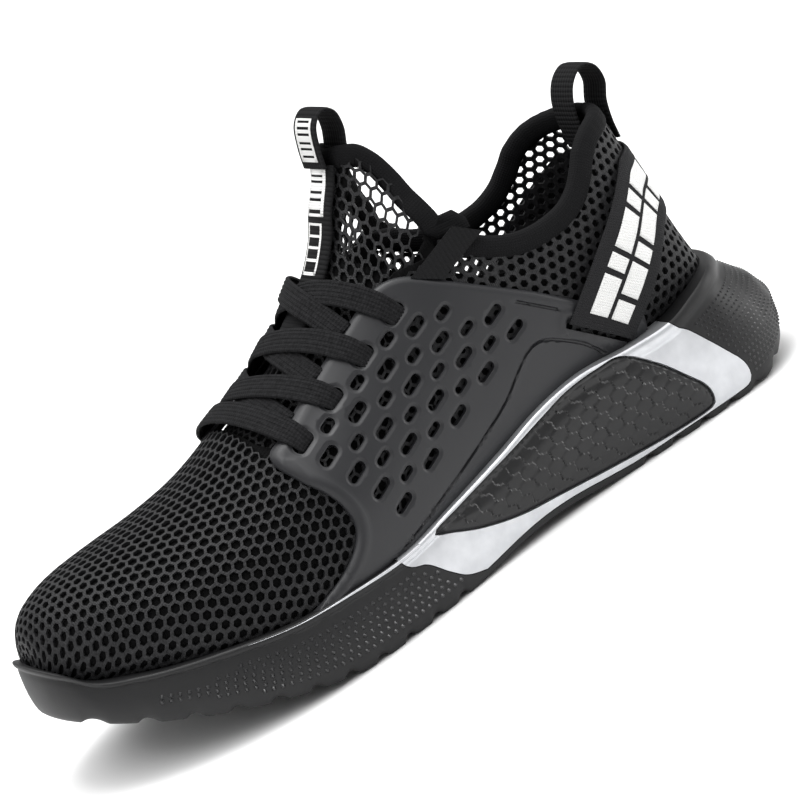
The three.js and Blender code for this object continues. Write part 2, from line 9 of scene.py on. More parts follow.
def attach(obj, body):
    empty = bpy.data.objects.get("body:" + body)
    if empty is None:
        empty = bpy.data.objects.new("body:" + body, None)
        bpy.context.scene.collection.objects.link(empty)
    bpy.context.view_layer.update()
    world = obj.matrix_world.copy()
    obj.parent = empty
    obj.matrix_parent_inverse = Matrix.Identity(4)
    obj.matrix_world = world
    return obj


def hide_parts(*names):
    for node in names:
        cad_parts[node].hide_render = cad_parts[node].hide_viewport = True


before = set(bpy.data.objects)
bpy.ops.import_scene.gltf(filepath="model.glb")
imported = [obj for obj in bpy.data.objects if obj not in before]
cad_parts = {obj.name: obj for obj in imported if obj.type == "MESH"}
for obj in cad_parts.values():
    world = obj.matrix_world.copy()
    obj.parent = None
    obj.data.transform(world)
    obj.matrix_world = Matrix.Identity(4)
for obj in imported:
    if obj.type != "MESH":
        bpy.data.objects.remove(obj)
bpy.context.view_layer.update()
scene = bpy.context.scene
deg = math.radians

# Sizes in mm, as in the solids; x runs from the rear of the heel until toMesh() moves it to the origin
shoe = {"length": 294.5, "ballWidth": 108, "instepHeight": 106, "heelHeight": 107, "heelStack": 24.5,
        "heelSeat": 41.5, "wall": 2.0, "gap": 0.3}
length = shoe["length"]


# Camera, floor and light
look = {"azimuth": 20, "elevation": 16, "roll": 27.19, "distance": 1.3, "lens": 176.0,
        "target": (0.0971, 0.0, 0.0539)}


def makeCamera():
    a, e, r = deg(look["azimuth"]), deg(look["elevation"]), deg(look["roll"])
    back = Vector((math.sin(a) * math.cos(e), math.cos(a) * math.cos(e), math.sin(e)))
    side = Vector((-math.cos(a), math.sin(a), 0))
    up = Vector((-math.sin(a) * math.sin(e), -math.cos(a) * math.sin(e), math.cos(e)))
    right = side * math.cos(r) - up * math.sin(r)
    top = side * math.sin(r) + up * math.cos(r)
    data = bpy.data.cameras.new("camera")
    data.lens = look["lens"]
    data.clip_start = 0.05
    data.clip_end = 20
    cam = bpy.data.objects.new("camera", data)
    turn = Matrix((right, top, back)).transposed().to_4x4()
    cam.matrix_world = Matrix.Translation(Vector(look["target"]) + back * look["distance"]) @ turn
    scene.collection.objects.link(cam)
    scene.camera = cam
    return right, top, back


def areaLight(name, place, aim, width, power, color=(1, 1, 1)):
    data = bpy.data.lights.new(name, "AREA")
    data.shape = "RECTANGLE"
    data.size = width[0]
    data.size_y = width[1]
    data.energy = power
    data.color = color
    lamp = bpy.data.objects.new(name, data)
    place = Vector(place)
    lamp.matrix_world = Matrix.Translation(place) @ (Vector(aim) - place).to_track_quat("-Z", "Y").to_matrix().to_4x4()
    scene.collection.objects.link(lamp)


camRight, camTop, camBack = makeCamera()


# Materials
def newMaterial(name, color, rough, metal=0.0, **sockets):
    mat = bpy.data.materials.new(name)
    mat.use_nodes = True
    shader = mat.node_tree.nodes["Principled BSDF"]
    shader.inputs["Base Color"].default_value = (*color, 1)
    shader.inputs["Roughness"].default_value = rough
    shader.inputs["Metallic"].default_value = metal
    for label, value in sockets.items():
        shader.inputs[label.replace("_", " ")].default_value = value
    mat.diffuse_color = (*color, 1)
    return mat


def node(mat, kind, **values):
    made = mat.node_tree.nodes.new(kind)
    for label, value in values.items():
        if label in made.inputs:
            made.inputs[label].default_value = value
        elif label.replace("_", " ") in made.inputs:
            made.inputs[label.replace("_", " ")].default_value = value
        else:
            setattr(made, label, value)
    return made


def wire(mat, start, end):
    mat.node_tree.links.new(start, end)


def coords(mat, kind="Object", scale=(1, 1, 1), turn=(0, 0, 0)):
    source = node(mat, "ShaderNodeTexCoord")
    mapping = node(mat, "ShaderNodeMapping", Scale=scale, Rotation=turn)
    wire(mat, source.outputs[kind], mapping.inputs["Vector"])
    return mapping.outputs["Vector"]


def addBump(mat, height, strength, distance):
    shader = mat.node_tree.nodes["Principled BSDF"]
    bump = node(mat, "ShaderNodeBump", Strength=strength, Distance=distance)
    wire(mat, height, bump.inputs["Height"])
    normal = shader.inputs["Normal"]
    if normal.is_linked:
        wire(mat, normal.links[0].from_socket, bump.inputs["Normal"])
    wire(mat, bump.outputs["Normal"], normal)


def noiseBump(mat, scale, strength, distance, detail=3.0):
    noise = node(mat, "ShaderNodeTexNoise", Scale=scale, Detail=detail)
    wire(mat, coords(mat), noise.inputs["Vector"])
    addBump(mat, noise.outputs["Fac"], strength, distance)


def varyColor(mat, low, high, scale, detail=4.0):
    shader = mat.node_tree.nodes["Principled BSDF"]
    noise = node(mat, "ShaderNodeTexNoise", Scale=scale, Detail=detail)
    wire(mat, coords(mat), noise.inputs["Vector"])
    ramp = node(mat, "ShaderNodeValToRGB")
    ramp.color_ramp.elements[0].color = (*low, 1)
    ramp.color_ramp.elements[0].position = 0.3
    ramp.color_ramp.elements[1].color = (*high, 1)
    ramp.color_ramp.elements[1].position = 0.7
    wire(mat, noise.outputs["Fac"], ramp.inputs["Fac"])
    wire(mat, ramp.outputs["Color"], shader.inputs["Base Color"])


def varyRoughness(mat, low, high, scale):
    shader = mat.node_tree.nodes["Principled BSDF"]
    noise = node(mat, "ShaderNodeTexNoise", Scale=scale, Detail=3.0)
    wire(mat, coords(mat), noise.inputs["Vector"])
    spread = node(mat, "ShaderNodeMapRange", To_Min=low, To_Max=high)
    wire(mat, noise.outputs["Fac"], spread.inputs["Value"])
    wire(mat, spread.outputs["Result"], shader.inputs["Roughness"])


def weave(mat, kind, along, across, strength, distance):
    # Two crossed waves, sizes in metres, on the piece's own UV (also in metres) or Object coordinates
    heights = []
    for direction, pitch in (("X", along), ("Y", across)):
        wave = node(mat, "ShaderNodeTexWave", Scale=0.31416 / pitch, bands_direction=direction, Distortion=0.4)
        wave.inputs["Detail Scale"].default_value = 2.0
        wire(mat, coords(mat, kind), wave.inputs["Vector"])
        heights.append(wave.outputs["Fac"])
    both = node(mat, "ShaderNodeMath", operation="MULTIPLY")
    wire(mat, heights[0], both.inputs[0])
    wire(mat, heights[1], both.inputs[1])
    addBump(mat, both.outputs[0], strength, distance)


def ribs(mat, kind, direction, pitch, strength, distance, distortion=0.3):
    wave = node(mat, "ShaderNodeTexWave", Scale=0.31416 / pitch, bands_direction=direction, Distortion=distortion)
    wire(mat, coords(mat, kind), wave.inputs["Vector"])
    addBump(mat, wave.outputs["Fac"], strength, distance)


def fabricMaterials():
    yarn = newMaterial("meshYarn", (0.014, 0.014, 0.0148), 0.55, Specular_IOR_Level=0.2)
    weave(yarn, "Object", 0.00065, 0.00065, 0.6, 0.0002)
    varyColor(yarn, (0.006, 0.006, 0.0065), (0.023, 0.023, 0.0245), 900)
    # Near-black and darker than the yarn: partly the lining's own black, partly painted shade in the net's cells
    lining = newMaterial("meshLiningPaintedShade", (0.004, 0.004, 0.0042), 0.9, Specular_IOR_Level=0.08)
    weave(lining, "Object", 0.0011, 0.0011, 0.8, 0.0003)
    knit = newMaterial("rimKnit", (0.007, 0.007, 0.0075), 0.8, Specular_IOR_Level=0.06)
    weave(knit, "UV", 0.0009, 0.0009, 0.5, 0.0003)
    noiseBump(knit, 90, 0.15, 0.001)
    cloth = newMaterial("insoleCloth", (0.010, 0.010, 0.0105), 0.9, Specular_IOR_Level=0.06)
    weave(cloth, "Object", 0.0014, 0.0014, 0.5, 0.0003)
    lace = newMaterial("laceYarn", (0.010, 0.010, 0.0105), 0.75, Specular_IOR_Level=0.08)
    weave(lace, "UV", 0.0011, 0.0006, 0.7, 0.0003)
    varyColor(lace, (0.007, 0.007, 0.0075), (0.015, 0.015, 0.016), 700)
    webbing = newMaterial("loopWebbing", (0.009, 0.009, 0.0095), 0.75, Specular_IOR_Level=0.08)
    ribs(webbing, "UV", "X", 0.0016, 0.6, 0.0004)
    weave(webbing, "UV", 0.0008, 0.0006, 0.4, 0.0002)
    strap = newMaterial("strapWebbing", (0.017, 0.017, 0.018), 0.75, Specular_IOR_Level=0.08)
    weave(strap, "UV", 0.0009, 0.0007, 0.8, 0.0003)
    ink = newMaterial("whitePrint", (0.72, 0.72, 0.71), 0.7)
    weave(ink, "UV", 0.0009, 0.0007, 0.8, 0.0003)
    thread = newMaterial("blackThread", (0.012, 0.012, 0.0125), 0.6, Specular_IOR_Level=0.25)
    noiseBump(thread, 2500, 0.4, 0.0001)
    return {"yarn": yarn, "lining": lining, "knit": knit, "cloth": cloth, "lace": lace, "webbing": webbing,
            "strap": strap, "ink": ink, "thread": thread}


def mouldedMaterials():
    rubber = newMaterial("soleRubber", (0.007, 0.007, 0.0075), 0.45, Specular_IOR_Level=0.35)
    noiseBump(rubber, 1400, 0.12, 0.0002)
    varyRoughness(rubber, 0.42, 0.6, 60)
    panel = newMaterial("panelRubber", (0.008, 0.008, 0.0085), 0.38, Specular_IOR_Level=0.4)
    noiseBump(panel, 1800, 0.08, 0.0002)
    varyRoughness(panel, 0.28, 0.45, 90)
    silver = newMaterial("silverPaint", (0.55, 0.56, 0.58), 0.36, 0.65)
    flake = node(silver, "ShaderNodeTexVoronoi", Scale=2200)
    wire(silver, coords(silver), flake.inputs["Vector"])
    addBump(silver, flake.outputs["Distance"], 0.06, 0.0002)
    varyColor(silver, (0.50, 0.51, 0.53), (0.60, 0.61, 0.63), 160)
    cage = newMaterial("cageTpu", (0.016, 0.0162, 0.018), 0.42, Specular_IOR_Level=0.35)
    noiseBump(cage, 500, 0.06, 0.0003)
    varyRoughness(cage, 0.36, 0.5, 70)
    # Lighter and glossier than the sole rubber: the gloss is the rubber's own, the lighter colour is a painted
    # highlight so the dots read as glints
    dot = newMaterial("dotRubber", (0.018, 0.018, 0.019), 0.3, Specular_IOR_Level=0.6)
    noiseBump(dot, 1400, 0.05, 0.0002)
    varyRoughness(dot, 0.24, 0.4, 90)
    return {"rubber": rubber, "panel": panel, "silver": silver, "cage": cage, "dot": dot}


finish = {**fabricMaterials(), **mouldedMaterials()}
print("materials made")


# Tables of the form, read by the same smooth curve as the solids
bedRows = [
    (0.000, 1.00), (0.190, 1.00), (0.292, 1.02), (0.373, 0.95), (0.454, 0.81), (0.524, 0.67), (0.595,
    0.56), (0.666, 0.52), (0.737, 0.54), (0.798, 0.66), (0.858, 0.84), (0.909, 1.03), (0.949, 1.18),
    (1.000, 1.45)
]
soleRows = [
    (0.000, 0.000, 0.345, 0.345, 0.165, 1.72),
    (0.049, 0.000, 0.350, 0.350, 0.135, 1.74),
    (0.099, 0.000, 0.352, 0.350, 0.075, 1.73),
    (0.140, 0.000, 0.352, 0.347, 0.035, 1.62),
    (0.180, 0.000, 0.352, 0.340, 0.015, 1.50),
    (0.241, 0.000, 0.352, 0.330, 0.010, 1.50),
    (0.312, 0.000, 0.354, 0.312, 0.010, 1.57),
    (0.373, -0.002, 0.365, 0.300, 0.010, 1.49),
    (0.443, -0.008, 0.393, 0.304, 0.010, 1.29),
    (0.524, -0.018, 0.440, 0.325, 0.010, 1.12),
    (0.605, -0.030, 0.495, 0.368, 0.010, 0.99),
    (0.686, -0.042, 0.541, 0.418, 0.010, 1.03),
    (0.757, -0.055, 0.557, 0.436, 0.010, 1.08),
    (0.838, -0.067, 0.557, 0.428, 0.010, 1.23),
    (0.919, -0.074, 0.557, 0.412, 0.010, 1.40),
    (0.960, -0.074, 0.557, 0.408, 0.008, 1.54),
    (0.980, -0.074, 0.557, 0.408, 0.004, 1.76),
    (1.000, -0.074, 0.557, 0.408, 0.000, 1.94),
]
lastRows = [
    (0.00, 0.984, 0.455, 0.992, 1.10, 0.00, -0.030, 0.112, 2.0, 2.0, 0.45),
    (0.02, 0.979, 0.515, 0.987, 1.02, 0.00, 0.050, 0.180, 2.0, 2.1, 0.44),
    (0.05, 0.964, 0.563, 0.968, 1.00, 0.00, 0.135, 0.252, 2.0, 2.2, 0.42),
    (0.09, 0.939, 0.598, 0.938, 1.00, 0.00, 0.220, 0.312, 2.0, 2.4, 0.40),
    (0.14, 0.905, 0.621, 0.905, 1.00, 0.00, 0.305, 0.366, 2.0, 2.6, 0.38),
    (0.20, 0.854, 0.634, 0.854, 1.00, 0.00, 0.388, 0.418, 2.0, 2.8, 0.36),
    (0.26, 0.790, 0.648, 0.790, 1.00, 0.00, 0.440, 0.440, 2.0, 3.0, 0.35),
    (0.32, 0.729, 0.682, 0.729, 1.00, 0.00, 0.460, 0.432, 2.0, 3.2, 0.34),
    (0.38, 0.668, 0.752, 0.661, 1.00, 0.00, 0.450, 0.400, 2.0, 3.2, 0.33),
    (0.44, 0.606, 0.830, 0.593, 1.00, 0.00, 0.420, 0.356, 2.0, 3.2, 0.33),
    (0.50, 0.552, 0.920, 0.522, 1.00, 0.00, 0.385, 0.318, 2.0, 3.0, 0.34),
    (0.55, 0.507, 1.015, 0.446, 1.00, 0.00, 0.352, 0.298, 2.0, 2.9, 0.36),
    (0.60, 0.478, 1.105, 0.363, 1.00, 0.00, 0.330, 0.292, 2.0, 2.8, 0.38),
    (0.65, 0.460, 1.185, 0.277, 1.00, 0.00, 0.318, 0.300, 2.1, 2.7, 0.40),
    (0.70, 0.443, 1.250, 0.190, 1.00, 0.00, 0.312, 0.308, 2.1, 2.6, 0.42),
    (0.75, 0.433, 1.300, 0.120, 1.00, 0.00, 0.306, 0.306, 2.2, 2.5, 0.44),
    (0.79, 0.427, 1.330, 0.084, 1.00, 0.04, 0.300, 0.300, 2.2, 2.4, 0.45),
    (0.83, 0.425, 1.355, 0.073, 1.00, 0.16, 0.294, 0.294, 2.2, 2.4, 0.46),
    (0.87, 0.423, 1.380, 0.081, 1.00, 0.34, 0.286, 0.286, 2.2, 2.4, 0.46),
    (0.91, 0.421, 1.405, 0.089, 1.00, 0.54, 0.278, 0.278, 2.2, 2.4, 0.46),
    (0.95, 0.419, 1.435, 0.097, 1.00, 0.76, 0.268, 0.268, 2.2, 2.4, 0.46),
    (1.00, 0.417, 1.480, 0.108, 1.00, 1.06, 0.260, 0.260, 2.2, 2.4, 0.46),
]


def readTable(rows, at):
    table = np.array(rows, float)
    places, values = table[:, 0], table[:, 1:]
    at = np.clip(np.asarray(at, float), places[0], places[-1])
    high = np.clip(np.searchsorted(places, at, side="right"), 1, len(places) - 1)
    low = high - 1
    t0, t1 = places[low], places[high]
    first, final = low == 0, high == len(places) - 1
    before = np.where(first, high, low - 1)
    after = np.where(final, low, np.minimum(high + 1, len(places) - 1))
    half = (t1 - t0) / 2
    wp = half / (t0 - np.where(first, t1, places[before]))
    wn = half / (np.where(final, t0, places[after]) - t1)
    p = (at - t0) / (t1 - t0)
    pp, ppp = p ** 2, p ** 3
    shares = (-wp * ppp + 2 * wp * pp - wp * p,
              (1 + wp) * ppp + (-1.5 - 2 * wp) * pp + (-0.5 + wp) * p + 1,
              (-1 - wn) * ppp + (1.5 + wn) * pp + 0.5 * p,
              wn * ppp - wn * pp)
    picks = (values[before], values[low], values[high], values[after])
    return sum(share[..., None] * pick for share, pick in zip(shares, picks))


def bedHeight(x):
    return readTable(bedRows, x / length)[..., 0] * shoe["heelStack"]


def soleTop(x):
    return readTable(soleRows, x / length)[..., 4] * shoe["heelStack"]


def lastPoint(at, angle):
    row = readTable(lastRows, at)
    topX, topZ, botX, bed, rise, lateral, medial, topPower, botPower, widest = np.moveaxis(row, -1, 0)
    x0 = botX * length
    z0 = bedHeight(x0) * bed + rise * (shoe["heelHeight"] - shoe["heelStack"])
    upX, upZ = topX * length - x0, topZ * shoe["instepHeight"] - z0
    c, s = np.cos(angle), np.sin(angle)
    power = np.where(s > 0, topPower, botPower)
    across = np.sign(c) * np.abs(c) ** (2 / power)
    along = np.sign(s) * np.abs(s) ** (2 / power)
    level = widest + along * np.where(s > 0, 1 - widest, widest)
    y = ((lateral - medial) / 2 + across * (lateral + medial) / 2) * shoe["ballWidth"]
    return np.stack([x0 + upX * level, y, z0 + upZ * level], -1)


def lastSurface(at, angle, grow):
    # Points of the last and its outward normals, moved out by grow mm
    at, angle = np.broadcast_arrays(np.asarray(at, float), np.asarray(angle, float))
    step = 1e-3
    alongWay = lastPoint(np.minimum(at + step, 1), angle) - lastPoint(np.maximum(at - step, 0), angle)
    aroundWay = lastPoint(at, angle + step) - lastPoint(at, angle - step)
    normal = np.cross(alongWay, aroundWay)
    normal /= np.maximum(np.linalg.norm(normal, axis=-1, keepdims=True), 1e-12)
    return lastPoint(at, angle) + normal * np.asarray(grow)[..., None], normal


# Meshes
def toMesh(name, points, faces, material, uv=None, smooth=True):
    points = (np.asarray(points, float) - (shoe["heelSeat"], 0, 0)) / 1000
    mesh = bpy.data.meshes.new(name)
    mesh.from_pydata(points.tolist(), [], [tuple(int(i) for i in face) for face in faces])
    mesh.validate()
    if uv is not None:
        layer = mesh.uv_layers.new(name="UVMap")
        corner = np.empty(len(mesh.loops), int)
        mesh.loops.foreach_get("vertex_index", corner)
        layer.data.foreach_set("uv", (np.asarray(uv, float)[corner] / 1000).ravel())
    if smooth:
        mesh.polygons.foreach_set("use_smooth", [True] * len(mesh.polygons))
    mesh.materials.append(material)
    piece = bpy.data.objects.new(name, mesh)
    scene.collection.objects.link(piece)
    return piece


def outward(piece):
    # Faces made to point out of a closed shell
    import bmesh
    work = bmesh.new()
    work.from_mesh(piece.data)
    bmesh.ops.remove_doubles(work, verts=work.verts, dist=1e-7)
    bmesh.ops.recalc_face_normals(work, faces=work.faces)
    work.to_mesh(piece.data)
    work.free()
    return piece


def bake(piece):
    # Modifiers made real
    graph = bpy.context.evaluated_depsgraph_get()
    graph.update()
    mesh = bpy.data.meshes.new_from_object(piece.evaluated_get(graph), depsgraph=graph)
    piece.modifiers.clear()
    piece.data = mesh
    return piece


def carve(piece, tool, operation="DIFFERENCE"):
    cut = piece.modifiers.new("cut", "BOOLEAN")
    cut.operation = operation
    cut.solver = "MANIFOLD"
    cut.object = tool
    bake(piece)
    return piece


def drop(*tools):
    for tool in tools:
        bpy.data.objects.remove(tool)


def gridFaces(rows, columns, closed=False):
    span = columns if closed else columns - 1
    r, c = np.meshgrid(np.arange(rows - 1), np.arange(span), indexing="ij")
    a = r * columns + c
    b = r * columns + (c + 1) % columns
    return np.stack([a, b, b + columns, a + columns], -1).reshape(-1, 4)


def lastSolid(name, grow, alongSteps=110, aroundSteps=96):
    at = np.linspace(0, 1, alongSteps + 1)
    at = 0.4 * at + 0.6 * at ** 1.25
    angle = 2 * math.pi * (np.arange(aroundSteps) + 0.5) / aroundSteps
    points, _ = lastSurface(at[:, None], angle[None, :], grow)
    if grow:
        points[0, :, 0] += grow
    rows = len(at)
    points = points.reshape(-1, 3)
    ends = [points[:aroundSteps].mean(0), points[-aroundSteps:].mean(0)]
    faces = [list(f) for f in gridFaces(rows, aroundSteps, True)]
    for ring in range(aroundSteps):
        nextOne = (ring + 1) % aroundSteps
        faces.append((rows * aroundSteps, nextOne, ring))
        faces.append((rows * aroundSteps + 1, (rows - 1) * aroundSteps + ring, (rows - 1) * aroundSteps + nextOne))
    return outward(toMesh(name, np.vstack([points, ends]), faces, finish["lining"]))


def sheetOfLast(name, keep, grow, thick, material):
    # A thin closed sheet over part of the last, where keep says so
    at, angle = np.linspace(0.30, 1, 300), np.linspace(deg(-20), deg(200), 320)
    points, _ = lastSurface(at[:, None], angle[None, :], grow)
    points = points.reshape(-1, 3)
    faces = gridFaces(300, 320)
    faces = faces[keep(points[faces].mean(1))]
    used = np.unique(faces)
    index = np.full(len(points), -1)
    index[used] = np.arange(len(used))
    piece = toMesh(name, points[used], index[faces], material)
    wall = piece.modifiers.new("wall", "SOLIDIFY")
    wall.thickness = thick / 1000
    wall.offset = 0
    return outward(bake(piece))


def sidePrism(name, outline, fromY, toY):
    outline = np.asarray(outline, float)
    count = len(outline)
    low = np.insert(outline, 1, fromY, axis=1)
    high = np.insert(outline, 1, toY, axis=1)
    faces = [list(range(count)), list(range(2 * count - 1, count - 1, -1))]
    for i in range(count):
        j = (i + 1) % count
        faces.append((i, j, count + j, count + i))
    return outward(toMesh(name, np.vstack([low, high]), faces, finish["lining"], smooth=False))


def shares(rows):
    return [(x * length, z * shoe["instepHeight"]) for x, z in rows]


def stack(rows):
    return [(x * length, z * shoe["heelStack"]) for x, z in rows]


def growOutline(points, amount):
    points = np.asarray(points, float)
    area = np.sum(points[:, 0] * np.roll(points[:, 1], -1) - np.roll(points[:, 0], -1) * points[:, 1])
    if area < 0:
        points = points[::-1]
    to = np.roll(points, -1, 0) - points
    to /= np.linalg.norm(to, axis=1, keepdims=True)
    start = np.roll(to, 1, 0)
    out = np.stack([start[:, 1] + to[:, 1], -(start[:, 0] + to[:, 0])], -1)
    out /= np.linalg.norm(out, axis=1, keepdims=True)
    slant = np.maximum(out[:, 0] * to[:, 1] - out[:, 1] * to[:, 0], 0.4)
    return points + out * (amount / slant)[:, None]


def smoothLine(points, count, closed=False):
    # Catmull-Rom through the points, evenly spaced
    points = np.asarray(points, float)
    ring = np.vstack([points[-1:], points, points[:2]]) if closed else np.vstack(
        [2 * points[:1] - points[1:2], points, 2 * points[-1:] - points[-2:-1]])
    spans = len(points) if closed else len(points) - 1
    t = np.linspace(0, 1, 24, endpoint=False)[:, None]
    line = []
    for i in range(spans):
        a, b, c, d = ring[i:i + 4]
        line.append(0.5 * (2 * b + (c - a) * t + (2 * a - 5 * b + 4 * c - d) * t ** 2
                           + (3 * b - a - 3 * c + d) * t ** 3))
    line = np.vstack(line + [points[:1] if closed else points[-1:]])
    walk = np.concatenate([[0], np.cumsum(np.linalg.norm(np.diff(line, axis=0), axis=1))])
    places = np.linspace(0, walk[-1], count + 1)[:-1] if closed else np.linspace(0, walk[-1], count)
    return np.stack([np.interp(places, walk, line[:, k]) for k in range(line.shape[1])], -1)


def insideOutline(points, outline):
    points, outline = np.asarray(points, float), np.asarray(outline, float)
    x, z = points[..., 0], points[..., 1]
    inside = np.zeros(x.shape, bool)
    for (x0, z0), (x1, z1) in zip(outline, np.roll(outline, -1, 0)):
        crosses = (z0 > z) != (z1 > z)
        inside ^= crosses & (x < (x1 - x0) * (z - z0) / (z1 - z0 + 1e-12) + x0)
    return inside


def lineDistance(points, line, closed=False):
    points, line = np.asarray(points, float), np.asarray(line, float)
    ends = np.roll(line, -1, 0) if closed else line[1:]
    starts = line if closed else line[:-1]
    best = np.full(len(points), 1e9)
    for a, b in zip(starts, ends):
        way = b - a
        t = np.clip(((points - a) @ way) / max(way @ way, 1e-12), 0, 1)
        best = np.minimum(best, np.linalg.norm(points - a - t[:, None] * way, axis=1))
    return best


def soften(value, low, high):
    t = np.clip((value - low) / (high - low), 0, 1)
    return t * t * (3 - 2 * t)


class Probe:
    # Finds places and smooth normals on a dense grid by rays
    def __init__(self, points, normals, closed=True):
        rows, columns = points.shape[:2]
        self.faces = gridFaces(rows, columns, closed)
        self.points = points.reshape(-1, 3)
        self.normals = normals.reshape(-1, 3)
        self.tree = BVHTree.FromPolygons(self.points.tolist(), self.faces.tolist())

    def hit(self, start, way):
        place, _, face, _ = self.tree.ray_cast(Vector(start), Vector(way))
        if place is None:
            place, _, face, _ = self.tree.find_nearest(Vector(start) + Vector(way) * 255)
        corner = self.faces[face]
        gaps = np.linalg.norm(self.points[corner] - np.array(place), axis=1)
        weight = 1 / np.maximum(gaps, 1e-3) ** 2
        normal = (self.normals[corner] * weight[:, None]).sum(0)
        return np.array(place), normal / np.linalg.norm(normal)

    def cast(self, starts, way):
        found = [self.hit(start, way) for start in starts]
        return np.array([f[0] for f in found]), np.array([f[1] for f in found])


def makeLastProbe(grow):
    at = np.linspace(0, 1, 261)
    angle = 2 * math.pi * (np.arange(360) + 0.5) / 360
    points, normals = lastSurface(at[:, None], angle[None, :], grow)
    return Probe(points, normals)


lastProbe = makeLastProbe(0.0)


def sidePlace(outline, side, grow):
    # Side-view points (x, z) laid on the last, on one side, grow mm out
    outline = np.asarray(outline, float)
    starts = np.stack([outline[:, 0], np.full(len(outline), side * 255.0), outline[:, 1]], -1)
    points, normals = lastProbe.cast(starts, (0, -side, 0))
    return points + normals * np.broadcast_to(grow, len(points))[:, None], normals


print("last and helpers ready")


# Sole: one form in plan and profile, cut into rubber, silver foam and side panels
sole = {"heelCurve": 0.13, "toeCurve": 0.271, "endPower": 2.1, "heelFlat": (0.125, 0.276),
        "ballFlat": (0.57, 0.686), "heelRoll": 13, "archLift": 3.2, "toeSpring": 27, "springPower": 1.5,
        "tread": 2.8, "grooveDepth": 1.8, "groovePitch": 12, "grooveReach": 2.7, "panelDepth": 2.2}
soleLean = [(0, 0.28), (0.08, 0.22), (0.35, 0.19), (0.60, 0.40), (0.86, 0.82), (0.92, 0.88), (1, 1)]
soleInset = [(0, 1.9), (0.02, 1.35), (0.05, 0.8), (0.09, 0.45), (0.15, 0.22), (0.25, 0.05), (0.35, 0),
             (0.5, 0.12), (0.6, 0.3), (0.72, 0.55), (0.8, 0.75), (0.85, 0.98), (0.87, 1.02), (0.885, 0.85),
             (0.9, 0.55), (0.92, 0.36), (0.95, 0.3), (0.975, 0.45), (0.99, 0.75), (1, 1.15)]


def soleBottom(x):
    at = np.clip(np.asarray(x, float) / length, 0, 1)
    heel, ball = sole["heelFlat"], sole["ballFlat"]
    z = np.zeros_like(at)
    z = np.where(at < heel[0], sole["heelRoll"] * ((heel[0] - at) / heel[0]) ** 2, z)
    arch = np.sin(np.pi * np.clip((at - heel[1]) / (ball[0] - heel[1]), 0, 1)) ** 2
    z = np.where((at > heel[1]) & (at < ball[0]), sole["archLift"] * arch, z)
    spring = np.clip((at - ball[1]) / (1 - ball[1]), 0, 1) ** sole["springPower"]
    return np.where(at > ball[1], sole["toeSpring"] * spring, z)


def soleScallops(x):
    z = soleBottom(x)
    places = np.arange(0.035 * length, 0.975 * length, sole["groovePitch"])
    for place in places:
        if sole["heelFlat"][1] + 0.03 < place / length < sole["ballFlat"][0] - 0.03:
            continue
        z = z + sole["grooveDepth"] * np.clip(1 - ((x - place) / sole["grooveReach"]) ** 2, 0, 1)
    return z


def solePlan(at):
    _, line, lateral, medial, lean, _ = [None, *np.moveaxis(readTable(soleRows, at), -1, 0)]
    heel = np.where(at < sole["heelCurve"], 1 - at / sole["heelCurve"], 0)
    toe = np.where(at > 1 - sole["toeCurve"], (at - 1 + sole["toeCurve"]) / sole["toeCurve"], 0)
    close = (1 - np.clip(np.maximum(heel, toe), 0, 1) ** sole["endPower"]) ** (1 / sole["endPower"])
    width = shoe["ballWidth"]
    return (line + lateral * close) * width, (line - medial * close) * width, lean * width


def soleStations():
    heel = sole["heelCurve"] * (1 - np.cos(np.pi / 2 * np.linspace(0, 1, 28)[:-1]))
    middle = np.linspace(sole["heelCurve"], 1 - sole["toeCurve"], 210)[:-1]
    toe = 1 - sole["toeCurve"] + sole["toeCurve"] * np.sin(np.pi / 2 * np.linspace(0, 1, 100))
    return np.concatenate([heel, middle, toe])


def soleGrid(profile, low, high):
    # Rings of (x, y, z) from the floor up; profile rows are (up, inset, lean)
    at = soleStations()
    lateral, medial, lean = solePlan(at)
    x = at * length
    ring = np.concatenate([np.stack([x, medial], -1), np.stack([x, lateral], -1)[1:-1][::-1]])
    leans = np.concatenate([lean, lean[1:-1][::-1]])
    way = np.roll(ring, -1, 0) - np.roll(ring, 1, 0)
    inwards = np.stack([-way[:, 1], way[:, 0]], -1)
    inwards /= np.linalg.norm(inwards, axis=1, keepdims=True)
    rings = []
    for up, inset, share in profile:
        flat = ring + inwards * (inset + share * leans)[:, None]
        z = low(flat[:, 0]) * (1 - up) + high(flat[:, 0]) * up
        rings.append(np.column_stack([flat, z]))
    return np.array(rings), -inwards


def soleProfile(inset=0.0):
    return [(up, value + inset, np.interp(up, *zip(*soleLean))) for up, value in soleInset]


def soleSolid(name, profile, low, high):
    grid, _ = soleGrid(profile, low, high)
    rows, count = grid.shape[:2]
    faces = [list(f) for f in gridFaces(rows, count, True)]
    half = count // 2
    for base in (0, (rows - 1) * count):
        for i in range(half):
            j = (count - i) % count
            quad = [base + i, base + i + 1, base + (count - i - 1), base + j]
            faces.append(list(dict.fromkeys(quad)))
    return outward(toMesh(name, grid.reshape(-1, 3), faces, finish["rubber"]))


def crisp(piece, angle=32):
    piece.data.set_sharp_from_angle(angle=deg(angle))
    return piece


def zoneOutline():
    tread = [(x, soleBottom(x) + sole["tread"]) for x in np.linspace(0.15, 0.525, 60) * length]
    front = smoothLine([tread[-1], *stack([(0.550, 0.25), (0.569, 0.45), (0.588, 0.70), (0.616, 0.94),
                                           (0.640, 2.0)])], 40)
    rear = smoothLine([*stack([(0.225, 2.4), (0.184, 1.47), (0.168, 1.26), (0.154, 1.02), (0.137, 0.71),
                               (0.124, 0.45), (0.122, 0.24), (0.130, 0.13)]), tread[0]], 40)
    return np.vstack([tread[:-1], front, rear[:-1]])


